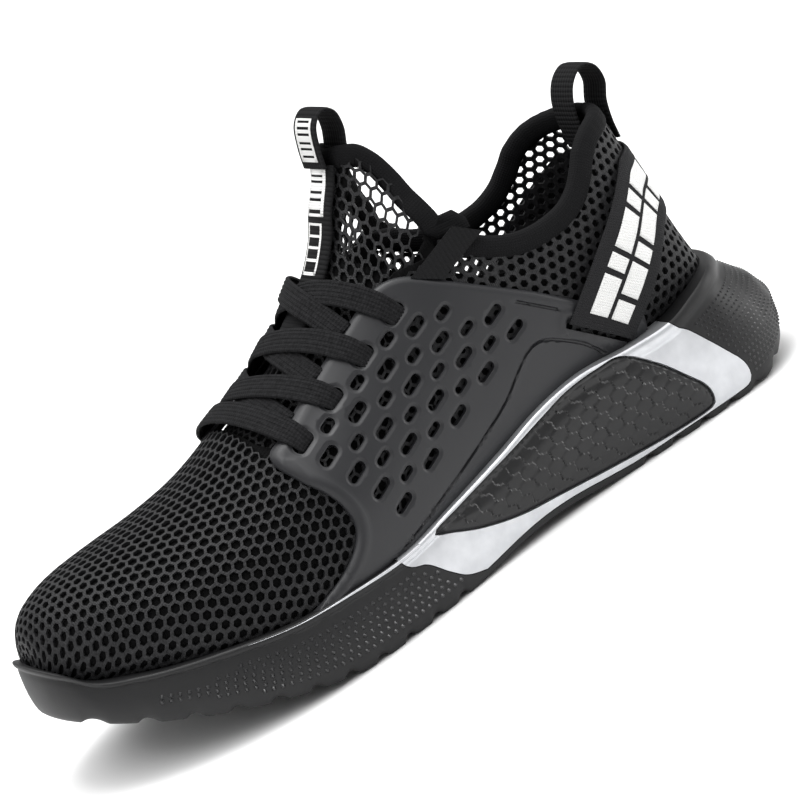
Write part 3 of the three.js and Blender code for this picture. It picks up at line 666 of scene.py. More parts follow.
def panelOutline():
    rows = [(0.190, 0.155), (0.250, 0.165), (0.330, 0.25), (0.400, 0.36), (0.455, 0.46), (0.505, 0.64),
            (0.540, 0.83), (0.562, 0.98), (0.520, 1.07), (0.440, 1.23), (0.380, 1.38), (0.335, 1.49),
            (0.290, 1.51), (0.255, 1.46), (0.220, 1.10), (0.196, 0.74), (0.180, 0.47), (0.178, 0.24)]
    return smoothLine(stack(rows), 150, closed=True)


def makeSole():
    gap = shoe["gap"]
    last = lastSolid("lastTool", gap)
    form = soleSolid("outsoleRubber", soleProfile(), soleScallops, soleTop)
    foam = soleSolid("midsoleFoam", soleProfile(), soleBottom, soleTop)
    zone, grown = zoneOutline(), growOutline(zoneOutline(), gap)
    zoneTool = sidePrism("zoneTool", zone, -90, 90)
    grownTool = sidePrism("grownTool", grown, -90, 90)
    carve(form, last)
    carve(form, grownTool)
    carve(foam, last)
    carve(foam, zoneTool, "INTERSECT")
    seat = soleSolid("seatTool", soleProfile(-1), soleBottom, soleTop)
    inner = soleSolid("innerTool", soleProfile(sole["panelDepth"] + gap), soleBottom, soleTop)
    carve(seat, inner)
    panelTool = sidePrism("panelTool", growOutline(panelOutline(), gap), -90, 90)
    carve(seat, panelTool, "INTERSECT")
    carve(foam, seat)
    drop(last, zoneTool, grownTool, seat, inner, panelTool)
    foam.data.materials.clear()
    foam.data.materials.append(finish["silver"])
    for piece, owner, name in ((form, "outsole", "rubber"), (foam, "midsole", "silver")):
        crisp(piece)
        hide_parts(owner)
        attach(piece, "root")
    print("sole made", len(form.data.polygons), len(foam.data.polygons))


makeSole()


# Charts: a side-view outline with holes, filled with small triangles and laid on a surface
def fillChart(outline, holes, step, lines=()):
    loops = [np.asarray(outline, float)] + [np.asarray(hole, float) for hole in holes]
    low, high = loops[0].min(0), loops[0].max(0)
    across = np.arange(low[0], high[0], step)
    points = []
    for row, z in enumerate(np.arange(low[1], high[1], step * 0.866)):
        points.append(np.column_stack([across + (row % 2) * step / 2, np.full(len(across), z)]))
    points = np.vstack(points)
    points = points[insideOutline(points, loops[0])]
    for loop in loops:
        near = lineDistance(points, loop, closed=True) < step * 0.4
        points = points[~near]
    for hole in loops[1:]:
        points = points[~insideOutline(points, hole)]
    for line in lines:
        points = points[lineDistance(points, line) > step * 0.4]
    edges, verts = [], []
    for loop in loops:
        start = len(verts)
        verts.extend(loop.tolist())
        edges.extend((start + i, start + (i + 1) % len(loop)) for i in range(len(loop)))
    for line in lines:
        verts.extend(np.asarray(line)[insideOutline(line, loops[0])].tolist())
    verts.extend(points.tolist())
    found, _, tris, *_ = delaunay_2d_cdt([Vector(v) for v in verts], edges, [], 0, 1e-5)
    flat = np.array([tuple(v) for v in found])
    tris = np.array(tris)
    centre = flat[tris].mean(1)
    keep = insideOutline(centre, loops[0])
    for hole in loops[1:]:
        keep &= ~insideOutline(centre, hole)
    return flat, tris[keep]


def shellFaces(tris, count):
    # Outer sheet, inner sheet and the walls at every free edge
    edges = np.concatenate([tris[:, [0, 1]], tris[:, [1, 2]], tris[:, [2, 0]]])
    known = {tuple(e) for e in edges.tolist()}
    walls = [(b, a, a + count, b + count) for a, b in known if (b, a) not in known]
    return [tuple(t) for t in tris.tolist()] + [tuple(t) for t in (tris[:, ::-1] + count).tolist()] + walls


def layChart(name, flat, tris, place, outer, inner, material):
    # place(flat, grow) gives points; outer and inner are heights for each point
    used = np.unique(tris)
    index = np.full(len(flat), -1)
    index[used] = np.arange(len(used))
    flat, tris = flat[used], index[tris]
    top = place(flat, np.broadcast_to(outer(flat), len(flat)))
    bottom = place(flat, np.broadcast_to(inner(flat), len(flat)))
    uv = np.vstack([flat, flat])
    return outward(toMesh(name, np.vstack([top, bottom]), shellFaces(tris, len(flat)), material, uv))


# Side panels: overlapping scales as real relief
panel = {"scale": 6.4, "relief": 0.75, "step": 0.62, "edge": 1.3}


def scaleRelief(flat):
    # Rows of six-sided scales, each rising towards its rear lower corner
    pitch = panel["scale"]
    rowHeight = pitch * 0.62
    row = np.floor(flat[:, 1] / rowHeight)
    best = np.full(len(flat), -1e9)
    height = np.zeros(len(flat))
    for dr in (-1, 0, 1):
        z = (row + dr + 0.5) * rowHeight
        shift = ((row + dr) % 2) * pitch / 2
        x = np.round((flat[:, 0] - shift) / pitch) * pitch + shift
        dx, dz = flat[:, 0] - x, flat[:, 1] - z
        near = -np.maximum(np.abs(dz) * 1.05 + np.abs(dx) * 0.35, np.abs(dx) * 0.92)
        lift = 0.5 + (0.55 * dz - 0.3 * dx) / pitch + 0.10 * near / pitch
        better = near > best
        best = np.where(better, near, best)
        height = np.where(better, lift, height)
    return (height - 0.5) * panel["relief"] - 0.35 * soften(-best, pitch * 0.40, pitch * 0.46)


def makePanels():
    outline = panelOutline()
    profile = soleProfile()
    grid, out = soleGrid(profile, soleBottom, soleTop)
    normals = np.broadcast_to(np.column_stack([out, np.zeros(len(out))]), grid.shape)
    probe = Probe(grid, normals)
    flat, tris = fillChart(outline, [], panel["step"])
    edge = lineDistance(flat, outline, closed=True)

    for side, name in ((1, "sidePanelLateral"), (-1, "sidePanelMedial")):
        starts = np.stack([flat[:, 0], np.full(len(flat), side * 255.0), flat[:, 1]], -1)
        base, normal = probe.cast(starts, (0, -side, 0))
        crown = 0.9 * soften(edge, 0, 7) + scaleRelief(flat) * soften(edge, 0.8, 2.6)
        crown = crown - panel["edge"] * (1 - soften(edge, 0, panel["edge"])) * 0.7
        faces = tris if side > 0 else tris[:, ::-1]
        top = base + normal * crown[:, None]
        bottom = base - normal * (sole["panelDepth"] - 0.1)
        made = outward(toMesh(name, np.vstack([top, bottom]), shellFaces(faces, len(flat)), finish["panel"]))
        crisp(made, 24)
        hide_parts("side_panel_lateral" if side > 0 else "side_panel_medial")
        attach(made, "root")
    print("panels made", len(made.data.polygons))


makePanels()


# Geometry Nodes helpers
def newTree(name, inputs):
    tree = bpy.data.node_groups.new(name, "GeometryNodeTree")
    tree.interface.new_socket("Geometry", in_out="INPUT", socket_type="NodeSocketGeometry")
    for label, kind, value in inputs:
        made = tree.interface.new_socket(label, in_out="INPUT", socket_type=kind)
        if value is not None:
            made.default_value = value
    tree.interface.new_socket("Geometry", in_out="OUTPUT", socket_type="NodeSocketGeometry")
    start = tree.nodes.new("NodeGroupInput")
    end = tree.nodes.new("NodeGroupOutput")
    real = tree.nodes.new("GeometryNodeRealizeInstances")
    paint = tree.nodes.new("GeometryNodeSetMaterial")
    tree.links.new(start.outputs["Material"], paint.inputs["Material"])
    tree.links.new(real.outputs[0], paint.inputs["Geometry"])
    tree.links.new(paint.outputs[0], end.inputs[0])
    return tree, start, real


def runTree(piece, tree, values):
    grown = piece.modifiers.new("tree", "NODES")
    grown.node_group = tree
    for item in tree.interface.items_tree:
        if item.in_out == "INPUT" and item.name in values:
            grown[item.identifier] = values[item.name]
    return bake(piece)


def netTree():
    # Triangles become six-sided cells, each opened by a hole
    tree, start, real = newTree("openNet", [("Hole", "NodeSocketFloat", 0.6), ("Material", "NodeSocketMaterial", None)])
    add, link = tree.nodes.new, tree.links.new
    dual = add("GeometryNodeDualMesh")
    rise = add("GeometryNodeExtrudeMesh")
    rise.mode = "FACES"
    rise.inputs["Offset Scale"].default_value = 0
    rise.inputs["Individual"].default_value = True
    shrink = add("GeometryNodeScaleElements")
    clear = add("GeometryNodeDeleteGeometry")
    clear.domain = "FACE"
    link(start.outputs["Geometry"], dual.inputs[0])
    link(dual.outputs[0], rise.inputs["Mesh"])
    link(rise.outputs["Mesh"], shrink.inputs["Geometry"])
    link(rise.outputs["Top"], shrink.inputs["Selection"])
    share = add("GeometryNodeInputNamedAttribute")
    share.data_type = "FLOAT"
    share.inputs["Name"].default_value = "open"
    size = add("ShaderNodeMath")
    size.operation = "MULTIPLY"
    link(start.outputs["Hole"], size.inputs[0])
    link(share.outputs["Attribute"], size.inputs[1])
    link(size.outputs[0], shrink.inputs["Scale"])
    link(shrink.outputs[0], clear.inputs["Geometry"])
    link(rise.outputs["Top"], clear.inputs["Selection"])
    link(clear.outputs[0], real.inputs[0])
    return tree


def studTree():
    # Small studs on the points of a mesh, turned to each point's normal; Sides and Top give their shape
    tree, start, real = newTree("studs", [
        ("Radius", "NodeSocketFloat", 0.001), ("Height", "NodeSocketFloat", 0.0004), ("Top", "NodeSocketFloat", 0.6),
        ("Sides", "NodeSocketInt", 8), ("Material", "NodeSocketMaterial", None)])
    add, link = tree.nodes.new, tree.links.new
    top = add("ShaderNodeMath")
    top.operation = "MULTIPLY"
    link(start.outputs["Radius"], top.inputs[0])
    link(start.outputs["Top"], top.inputs[1])
    cone = add("GeometryNodeMeshCone")
    link(start.outputs["Sides"], cone.inputs["Vertices"])
    link(start.outputs["Radius"], cone.inputs["Radius Bottom"])
    link(top.outputs[0], cone.inputs["Radius Top"])
    link(start.outputs["Height"], cone.inputs["Depth"])
    facing = add("GeometryNodeInputNamedAttribute")
    facing.data_type = "FLOAT_VECTOR"
    facing.inputs["Name"].default_value = "facing"
    turn = add("FunctionNodeAlignRotationToVector")
    turn.axis = "Z"
    points = add("GeometryNodeInstanceOnPoints")
    link(facing.outputs["Attribute"], turn.inputs["Vector"])
    link(start.outputs["Geometry"], points.inputs["Points"])
    link(cone.outputs["Mesh"], points.inputs["Instance"])
    link(turn.outputs["Rotation"], points.inputs["Rotation"])
    link(points.outputs[0], real.inputs[0])
    return tree


netNodes, studNodes = netTree(), studTree()


def makeStuds(name, points, normals, radius, height, top, sides, material):
    piece = toMesh(name, points, [], material)
    facing = piece.data.attributes.new("facing", "FLOAT_VECTOR", "POINT")
    facing.data.foreach_set("vector", np.asarray(normals, float).ravel())
    runTree(piece, studNodes, {"Radius": radius / 1000, "Height": height / 1000, "Top": top, "Sides": sides,
                               "Material": material})
    return piece


# Upper: open net over a lining, unrolled over the foot so that every cell keeps its size
upper = {"pitch": 4.0, "hole": 0.77, "rearHole": 0.62, "yarn": 1.2, "liningOut": -1.35, "liningIn": -2.0}


def sectionLattice(rows, grow, pitch, reach=None):
    # Lattice over sections of the last, measured from the ridge line down both sides
    angle = np.linspace(-np.pi / 2, 3 * np.pi / 2, 721)
    middle = len(angle) // 2
    flat, points = [], []
    for k, at in enumerate(rows):
        line, _ = lastSurface(np.full(len(angle), at), angle, np.full(len(angle), grow))
        walk = np.concatenate([[0], np.cumsum(np.linalg.norm(np.diff(line, axis=0), axis=1))])
        walk -= walk[middle]
        low, high = (walk[0], walk[-1]) if reach is None else (max(walk[0], -reach), min(walk[-1], reach))
        v = np.arange(math.ceil(low / pitch), math.floor(high / pitch) + 1) * pitch + (k % 2) * pitch / 2
        v = v[(v > low) & (v < high)]
        points.append(np.stack([np.interp(v, walk, line[:, i]) for i in range(3)], -1))
        flat.append(np.column_stack([np.full(len(v), k * pitch * 0.866), v]))
        if at == 0:
            points[-1] = points[-1].mean(0) * 0.6 + points[-1] * 0.4
    return np.vstack(flat), np.vstack(points)


def evenRows(fromAt, toAt, angle, pitch):
    at = np.linspace(fromAt, toAt, 2000)
    line = lastPoint(at, np.full(2000, angle))
    walk = np.concatenate([[0], np.cumsum(np.linalg.norm(np.diff(line, axis=0), axis=1))])
    return np.interp(np.arange(0, walk[-1], pitch * 0.866), walk, at)


def heelLattice(levels, grow, pitch, front):
    # Lattice over level lines round the heel, measured from the back both ways
    angle = np.linspace(deg(-240), deg(60), 601)
    flat, points = [], []
    for k, z in enumerate(levels):
        low, high = np.full(len(angle), 0.3), np.full(len(angle), 1.0)
        for _ in range(28):
            at = (low + high) / 2
            over = lastPoint(at, angle)[:, 2] > z
            high, low = np.where(over, at, high), np.where(over, low, at)
        line, _ = lastSurface((low + high) / 2, angle, np.full(len(angle), grow))
        line = line[np.abs(line[:, 2] - z) < 3]
        walk = np.concatenate([[0], np.cumsum(np.linalg.norm(np.diff(line, axis=0), axis=1))])
        walk -= walk[np.argmin(line[:, 0])]
        v = np.arange(math.ceil(walk[0] / pitch), math.floor(walk[-1] / pitch)) * pitch + (k % 2) * pitch / 2
        made = np.stack([np.interp(v, walk, line[:, i]) for i in range(3)], -1)
        keep = made[:, 0] < front
        points.append(made[keep])
        flat.append(np.column_stack([np.full(keep.sum(), k * pitch * 0.866), v[keep]]))
    return np.vstack(flat), np.vstack(points)


def netFaces(flat, pitch):
    _, _, tris, order, *_ = delaunay_2d_cdt([Vector(p) for p in flat], [], [], 0, 1e-6)
    tris = np.array([[order[i][0] for i in tri] for tri in tris])
    sides = [np.linalg.norm(flat[tris[:, i]] - flat[tris[:, (i + 1) % 3]], axis=1) for i in range(3)]
    return tris[np.max(sides, axis=0) < 1.35 * pitch]


def makeNet(name, flat, points, keep, pitch, hole, yarn, owner, material):
    tris = netFaces(flat, pitch)
    tris = tris[keep(points[tris].mean(1))]
    used = np.unique(tris)
    index = np.full(len(points), -1)
    index[used] = np.arange(len(used))
    piece = toMesh(name, points[used], index[tris], material)
    way = sum((p.normal.y * p.center.y for p in piece.data.polygons))
    if way < 0:
        piece.data.flip_normals()
    x, z = points[used][:, 0], points[used][:, 2]
    low = soften(x, 0.60 * length, 0.78 * length) * (1 - soften(z - soleTop(x), 4, 24))
    toe = soften(x, 0.86 * length, 0.96 * length)
    share = piece.data.attributes.new("open", "FLOAT", "POINT")
    share.data.foreach_set("value", 1 - 0.12 * np.maximum(low, toe))
    runTree(piece, netNodes, {"Hole": hole, "Material": material})
    thick = piece.modifiers.new("thick", "SOLIDIFY")
    thick.thickness = yarn / 1000
    thick.offset = 0
    bake(piece)
    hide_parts(owner)
    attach(piece, "root")
    print(name, len(piece.data.polygons))
    return piece


collarRows = [(0.060, 1.005), (0.110, 1.015), (0.150, 1.005), (0.180, 0.965), (0.200, 0.910), (0.222, 0.865),
              (0.252, 0.843), (0.290, 0.848), (0.322, 0.880), (0.350, 0.930), (0.382, 0.975)]
throatRows = [(0.440, 0.935), (0.474, 0.900), (0.655, 0.660), (0.670, 0.700), (0.680, 0.900)]
collarLine = smoothLine(shares(collarRows), 80)


def mouthOutline(drop):
    line = collarLine - (0, drop)
    return np.vstack([line, shares(throatRows), shares([(0.72, 1.7), (0.02, 1.7)])])


def makeUpper():
    pitch = upper["pitch"]
    centre = (upper["liningOut"] + 0) / 2
    mouth = mouthOutline(5)
    seam = 0.48 * length

    def keepFront(p):
        return (p[:, 0] > seam) & ~insideOutline(p[:, [0, 2]], mouth) & (p[:, 2] > np.minimum(soleTop(p[:, 0]), 35) - 4)

    def keepRear(p):
        return (p[:, 0] < seam + 4) & ~insideOutline(p[:, [0, 2]], mouth) & (p[:, 2] > soleTop(p[:, 0]) - 4)

    rows = np.concatenate([[0, 0.001], evenRows(0.008, 0.60, deg(50), pitch)])
    flat, points = sectionLattice(rows, -0.5, pitch)
    makeNet("vampNet", flat, points, keepFront, pitch, upper["hole"], upper["yarn"], "upper", finish["yarn"])
    levels = np.arange(26, 112, pitch * 0.866)
    flat, points = heelLattice(levels, -0.5, pitch, seam + 6)
    makeNet("quarterNet", flat, points, keepRear, pitch, upper["rearHole"], upper["yarn"], "upper", finish["yarn"])

    lining = lastSolid("upperLining", upper["liningOut"], 90, 80)
    inner = lastSolid("innerTool", upper["liningIn"], 90, 80)
    opening = sidePrism("openingTool", mouthOutline(6), -90, 90)
    farWindow = sidePrism("farWindow", smoothLine(shares([
        (0.112, 0.58), (0.215, 0.50), (0.300, 0.58), (0.388, 0.74), (0.410, 0.93), (0.345, 0.88), (0.290, 0.80),
        (0.240, 0.80), (0.190, 0.88), (0.140, 0.93), (0.112, 0.92)]), 60, closed=True), -90, 0)
    nearWindow = sidePrism("nearWindow", smoothLine(shares([
        (0.330, 0.76), (0.372, 0.82), (0.400, 0.90), (0.385, 0.93), (0.350, 0.87), (0.325, 0.82)]), 40, closed=True), 0, 90)
    for tool in (inner, opening, farWindow, nearWindow):
        carve(lining, tool)
    drop(inner, opening, farWindow, nearWindow)
    crisp(lining)
    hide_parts("upper")
    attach(lining, "root")
    print("upper made")


makeUpper()


# Padded rims: a soft round section swept along a line on the last
def sweep(name, line, outs, section, material, uvScale=1.0, closedEnds=True):
    # section(i) gives (across, out) offsets in mm; across is out x along
    line, outs = np.asarray(line, float), np.asarray(outs, float)
    along = np.gradient(line, axis=0)
    along /= np.linalg.norm(along, axis=1, keepdims=True)
    outs = outs - (outs * along).sum(1, keepdims=True) * along
    outs /= np.linalg.norm(outs, axis=1, keepdims=True)
    across = np.cross(outs, along)
    walk = np.concatenate([[0], np.cumsum(np.linalg.norm(np.diff(line, axis=0), axis=1))])
    rings, uvs = [], []
    for i in range(len(line)):
        offsets = np.asarray(section(i))
        rings.append(line[i] + across[i] * offsets[:, :1] + outs[i] * offsets[:, 1:2])
        girth = np.concatenate([[0], np.cumsum(np.linalg.norm(np.diff(offsets, axis=0), axis=1))])
        uvs.append(np.column_stack([np.full(len(girth), walk[i]), girth]))
    count = len(rings[0])
    points, uv = np.vstack(rings), np.vstack(uvs) * uvScale
    faces = [list(f) for f in gridFaces(len(rings), count, True)]
    if closedEnds:
        for ring, order in ((0, 1), (len(rings) - 1, -1)):
            centre = len(points)
            points = np.vstack([points, rings[ring].mean(0)])
            uv = np.vstack([uv, uvs[ring].mean(0)])
            for j in range(count):
                a, b = ring * count + j, ring * count + (j + 1) % count
                faces.append((centre, b, a) if order > 0 else (centre, a, b))
    return outward(toMesh(name, points, faces, material, uv))


rim = {"height": 8.0, "out": 0.9, "in": -4.5, "fill": 0.8}


def crossingLine(angles, above, low=0.55):
    # Where each line of constant angle first passes above(x, z) > 0
    a, b = np.full(len(angles), low), np.full(len(angles), 1.0)
    for _ in range(30):
        middle = (a + b) / 2
        p = lastPoint(middle, angles)
        over = above(p[:, 0], p[:, 2]) > 0
        b, a = np.where(over, middle, b), np.where(over, a, middle)
    return (a + b) / 2


def roundSection(width, height, count=26, power=2.6, twist=0.0):
    t = np.linspace(0, 2 * np.pi, count, endpoint=False)
    c, s = np.cos(t), np.sin(t)
    across = np.sign(c) * np.abs(c) ** (2 / power) * width / 2
    out = np.sign(s) * np.abs(s) ** (2 / power) * height / 2
    return np.column_stack([across, out])


def makeCollarRim():
    angles = np.linspace(deg(-230), deg(50), 240)
    at = crossingLine(angles, lambda x, z: z - np.interp(x, collarLine[:, 0], collarLine[:, 1]))
    grow = (rim["out"] + rim["in"]) / 2
    edge, normal = lastSurface(at, angles, np.full(len(angles), grow))
    keep = edge[:, 0] < 0.381 * length
    edge, normal = edge[keep], normal[keep]
    along = np.gradient(edge, axis=0)
    along /= np.linalg.norm(along, axis=1, keepdims=True)
    down = np.cross(normal, along)
    down *= np.sign(-down[:, 2:3])
    line = edge + down * rim["height"] / 2
    walk = np.linspace(0, 1, len(line))
    body = roundSection(rim["height"], rim["out"] - rim["in"])

    def section(i):
        pinch = 1 - 0.35 * (1 - soften(min(walk[i], 1 - walk[i]), 0, 0.03))
        ripple = 1 + 0.012 * math.sin(i * 0.9)
        return body * pinch * ripple

    piece = sweep("collarRim", line, normal, section, finish["knit"])
    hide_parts("collar_rim")
    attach(piece, "root")
    print("collar rim made")


makeCollarRim()


# Tongue: net wings, a soft back in the middle and a padded edge
tongue = {"grow": -3.7, "yarn": 1.0, "edgeWidth": 7.5, "edgeHeight": 3.6}
tongueRows = [(0.706, 0.700), (0.680, 0.575), (0.462, 0.800), (0.372, 0.800), (0.362, 0.960), (0.364, 1.018),
              (0.368, 1.070), (0.375, 1.147), (0.382, 1.217), (0.392, 1.276), (0.402, 1.313), (0.413, 1.330),
              (0.445, 1.340), (0.50, 1.6), (0.706, 1.6), (0.706, 1.1)]


def makeTongue():
    outline = np.array(shares(tongueRows))
    pitch = upper["pitch"]
    rows = evenRows(0.30, 0.93, deg(90), pitch)
    flat, points = sectionLattice(rows, tongue["grow"], pitch, reach=52)
    inset = growOutline(outline, -1.0)
    collar = np.column_stack([collarLine[:, 0], collarLine[:, 1]])

    def keep(p):
        flatPlace = p[:, [0, 2]]
        underCollar = (p[:, 0] < 0.40 * length) & (p[:, 2] < np.interp(p[:, 0], collar[:, 0], collar[:, 1]) + 1)
        return insideOutline(flatPlace, inset) & ~underCollar

    makeNet("tongueNet", flat, points, keep, pitch, upper["hole"], tongue["yarn"], "tongue", finish["yarn"])
    wing = smoothLine(shares([(0.380, 1.12), (0.394, 1.20), (0.412, 1.255), (0.440, 1.20), (0.462, 1.12),
                              (0.466, 1.02), (0.430, 0.93), (0.386, 0.98)]), 50, closed=True)
    body = growOutline(outline, -1.2)

    def keepBack(p):
        flatPlace = p[:, [0, 2]]
        rise = p[:, 2] - np.interp(p[:, 0], collar[:, 0], collar[:, 1])
        underRim = (p[:, 0] < collar[-1, 0]) & (rise < 1)
        return insideOutline(flatPlace, body) & ~underRim & ~(insideOutline(flatPlace, wing) & (np.abs(p[:, 1]) > 9.5))

    back = sheetOfLast("tongueBack", keepBack, -4.8, 0.8, finish["lining"])
    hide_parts("tongue")
    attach(back, "root")

    angles = np.linspace(deg(8), deg(172), 200)
    closed = outline

    def above(x, z):
        flatPlace = np.column_stack([x, z])
        near = lineDistance(flatPlace, closed, closed=True)
        return np.where(insideOutline(flatPlace, closed), -near, near) - 0.01 + 0 * (z < 70)

    at = np.linspace(0.50, 1.0, 500)
    spots = []
    for angle in angles:
        p = lastPoint(at, np.full(len(at), angle))
        inside = np.nonzero(insideOutline(p[:, [0, 2]], closed))[0]
        spots.append(at[inside[-1]] if len(inside) else np.nan)
    spots = np.array(spots)
    keepSpot = ~np.isnan(spots)
    edge, normal = lastSurface(spots[keepSpot], angles[keepSpot], np.full(keepSpot.sum(), -3.8))
    high = edge[:, 2] > 0.93 * shoe["instepHeight"]
    edge, normal = edge[high], normal[high]
    smooth = smoothLine(edge[::6], 160)
    normal = np.stack([np.interp(np.linspace(0, 1, 160), np.linspace(0, 1, len(normal)), normal[:, k])
                       for k in range(3)], -1)
    along = np.gradient(smooth, axis=0)
    along /= np.linalg.norm(along, axis=1, keepdims=True)
    inwards = np.cross(normal, along)
    inwards *= np.sign(-inwards[:, 2:3])
    line = smooth + inwards * tongue["edgeWidth"] / 2
    body = roundSection(tongue["edgeWidth"], tongue["edgeHeight"], power=2.4)
    piece = sweep("tongueRim", line, normal, lambda i: body, finish["knit"])
    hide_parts("tongue")
    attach(piece, "root")
    print("tongue made")


makeTongue()


# Side cages: slots with sunken rims, a raised front edge, an incised line and a strap keeper
cage = {"out": 2.5, "in": 0.35, "step": 1.7, "rim": 1.0, "sink": 0.55, "back": 16.3, "up": 6.4, "rowBack": 4.4,
        "rowDown": 8.2, "big": (8.0, 3.2), "small": (5.8, 2.7), "eyelet": (8.4, 3.6), "eyeletRow": -0.8, "midGap": 5}
laceTilt = math.atan2(cage["up"], cage["back"])


def slotPlace(i, j):
    return np.array([0.5684 * length - i * cage["back"] - j * cage["rowBack"],
                     0.653 * shoe["instepHeight"] + i * cage["up"] - j * cage["rowDown"]])


def slotOutline(centre, size, grow=0.0):
    long, wide = size[0] / 2, size[1] / 2
    t = np.linspace(-np.pi / 2, np.pi / 2, 8)
    end = np.column_stack([np.cos(t), np.sin(t)]) * (wide + grow) + (long - wide, 0)
    line = np.vstack([end, [(0, wide + grow)], -end, [(0, -wide - grow)]])
    c, s = math.cos(-laceTilt), math.sin(-laceTilt)
    return line @ np.array([[c, s], [-s, c]]) + centre


def resample(points, count):
    ring = np.vstack([points, points[:1]])
    walk = np.concatenate([[0], np.cumsum(np.linalg.norm(np.diff(ring, axis=0), axis=1))])
    places = np.linspace(0, walk[-1], count + 1)[:-1]
    return np.stack([np.interp(places, walk, ring[:, k]) for k in range(2)], -1)


def curveTo(start, control, end, count=14):
    t = np.linspace(0, 1, count)[1:, None]
    a, b, c = (np.array(p) for p in (start, control, end))
    return (1 - t) ** 2 * a + 2 * t * (1 - t) * b + t ** 2 * c


def cageOutline():
    p = [np.array([(0.741, 0.238)])]
    p.append(curveTo((0.741, 0.238), (0.640, 0.300), (0.641, 0.420)))
    p.append(curveTo((0.641, 0.420), (0.642, 0.490), (0.662, 0.560), 8))
    p.append(np.array([(0.673, 0.620)]))
    p.append(curveTo((0.673, 0.620), (0.680, 0.668), (0.656, 0.684), 8))
    p.append(np.linspace((0.656, 0.684), (0.482, 0.914), 24)[1:])
    p.append(curveTo((0.482, 0.914), (0.455, 0.945), (0.430, 0.905), 10))
    p.append(np.linspace((0.430, 0.905), (0.314, 0.667), 18)[1:])
    p.append(np.linspace((0.314, 0.667), (0.200, 0.396), 18)[1:])
    upperEdge = np.vstack(p) * (length, shoe["instepHeight"])
    x = np.linspace(0.196, 0.739, 90)[1:-1] * length
    lowerEdge = np.column_stack([x, soleTop(x) - 0.7])
    return np.vstack([upperEdge, lowerEdge])


incisedLine = smoothLine(np.array([(197, 22.6), (184, 25.7), (165, 30.8), (142, 38.2), (125, 45), (116, 50.9),
                                   (109, 55.1), (104, 56), (100, 54.9), (95, 51.8), (88, 46.4), (82, 39.7)])
                         - (3.5, 0), 90)
incisedMarks = [smoothLine(shares(rows), 30) for rows in (
    [(0.735, 0.292), (0.692, 0.330), (0.668, 0.395), (0.664, 0.455)], [(0.340, 0.672), (0.320, 0.626), (0.300, 0.580)])]
strapEnd = np.array(shares([(0.229, 0.368), (0.297, 0.5245)]))
eyelets = [slotPlace(i, cage["eyeletRow"]) for i in (-1, 0, 1, 2)]


def slotList():
    rows = [(0, -1, 2, "big"), (1, -1, 2, "big"), (2, -1, 3, "big"), (3, -1, 3, "big"), (-0.5, -0.5, 1.5, "small"),
            (0.5, -0.5, 2.5, "small"), (1.5, -0.5, 2.5, "small"), (2.5, -0.5, 2.5, "small")]
    made = [(slotPlace(i, row), cage[size]) for row, first, final, size in rows
            for i in np.arange(first, final + 0.1)]
    return made + [(place, cage["eyelet"]) for place in eyelets]


def keeperOutline(half=1.6, extra=0.6):
    way = (strapEnd[1] - strapEnd[0]) / np.linalg.norm(strapEnd[1] - strapEnd[0])
    across = np.array([-way[1], way[0]])
    start, end = strapEnd[0] - way * extra, strapEnd[1] + way * extra
    return resample(np.array([start - across * half, end - across * half, end + across * half,
                              start + across * half]), 40)


def cageHeight(flat, outline, holes, keeper):
    edge = lineDistance(flat, outline, closed=True)
    free = flat[:, 1] > soleTop(flat[:, 0]) + 1.5
    height = np.full(len(flat), cage["out"])
    height -= np.where(free, 1.3 * (1 - soften(edge, 0, 1.3)) ** 1.5, 0)
    front = outline[:36]
    fromFront = lineDistance(flat, front)
    height += 0.6 * np.exp(-((fromFront - 2.6) / 1.3) ** 2)
    for hole in holes:
        near = lineDistance(flat, hole, closed=True)
        height -= cage["sink"] * (1 - soften(near, cage["rim"] * 0.5, cage["rim"]))
    line = lineDistance(flat, incisedLine)
    for mark in (incisedLine, *incisedMarks):
        height -= 0.9 * (1 - soften(lineDistance(flat, mark), 0.25, 0.62))
    loop = np.vstack([incisedLine, [(78, 20), (200, 10)]])
    height -= 0.35 * insideOutline(flat, loop) * soften(line, 0.5, 2.0)
    near = lineDistance(flat, keeper, closed=True)
    height += 0.7 * np.exp(-((near - 1.7) / 0.8) ** 2)
    return height


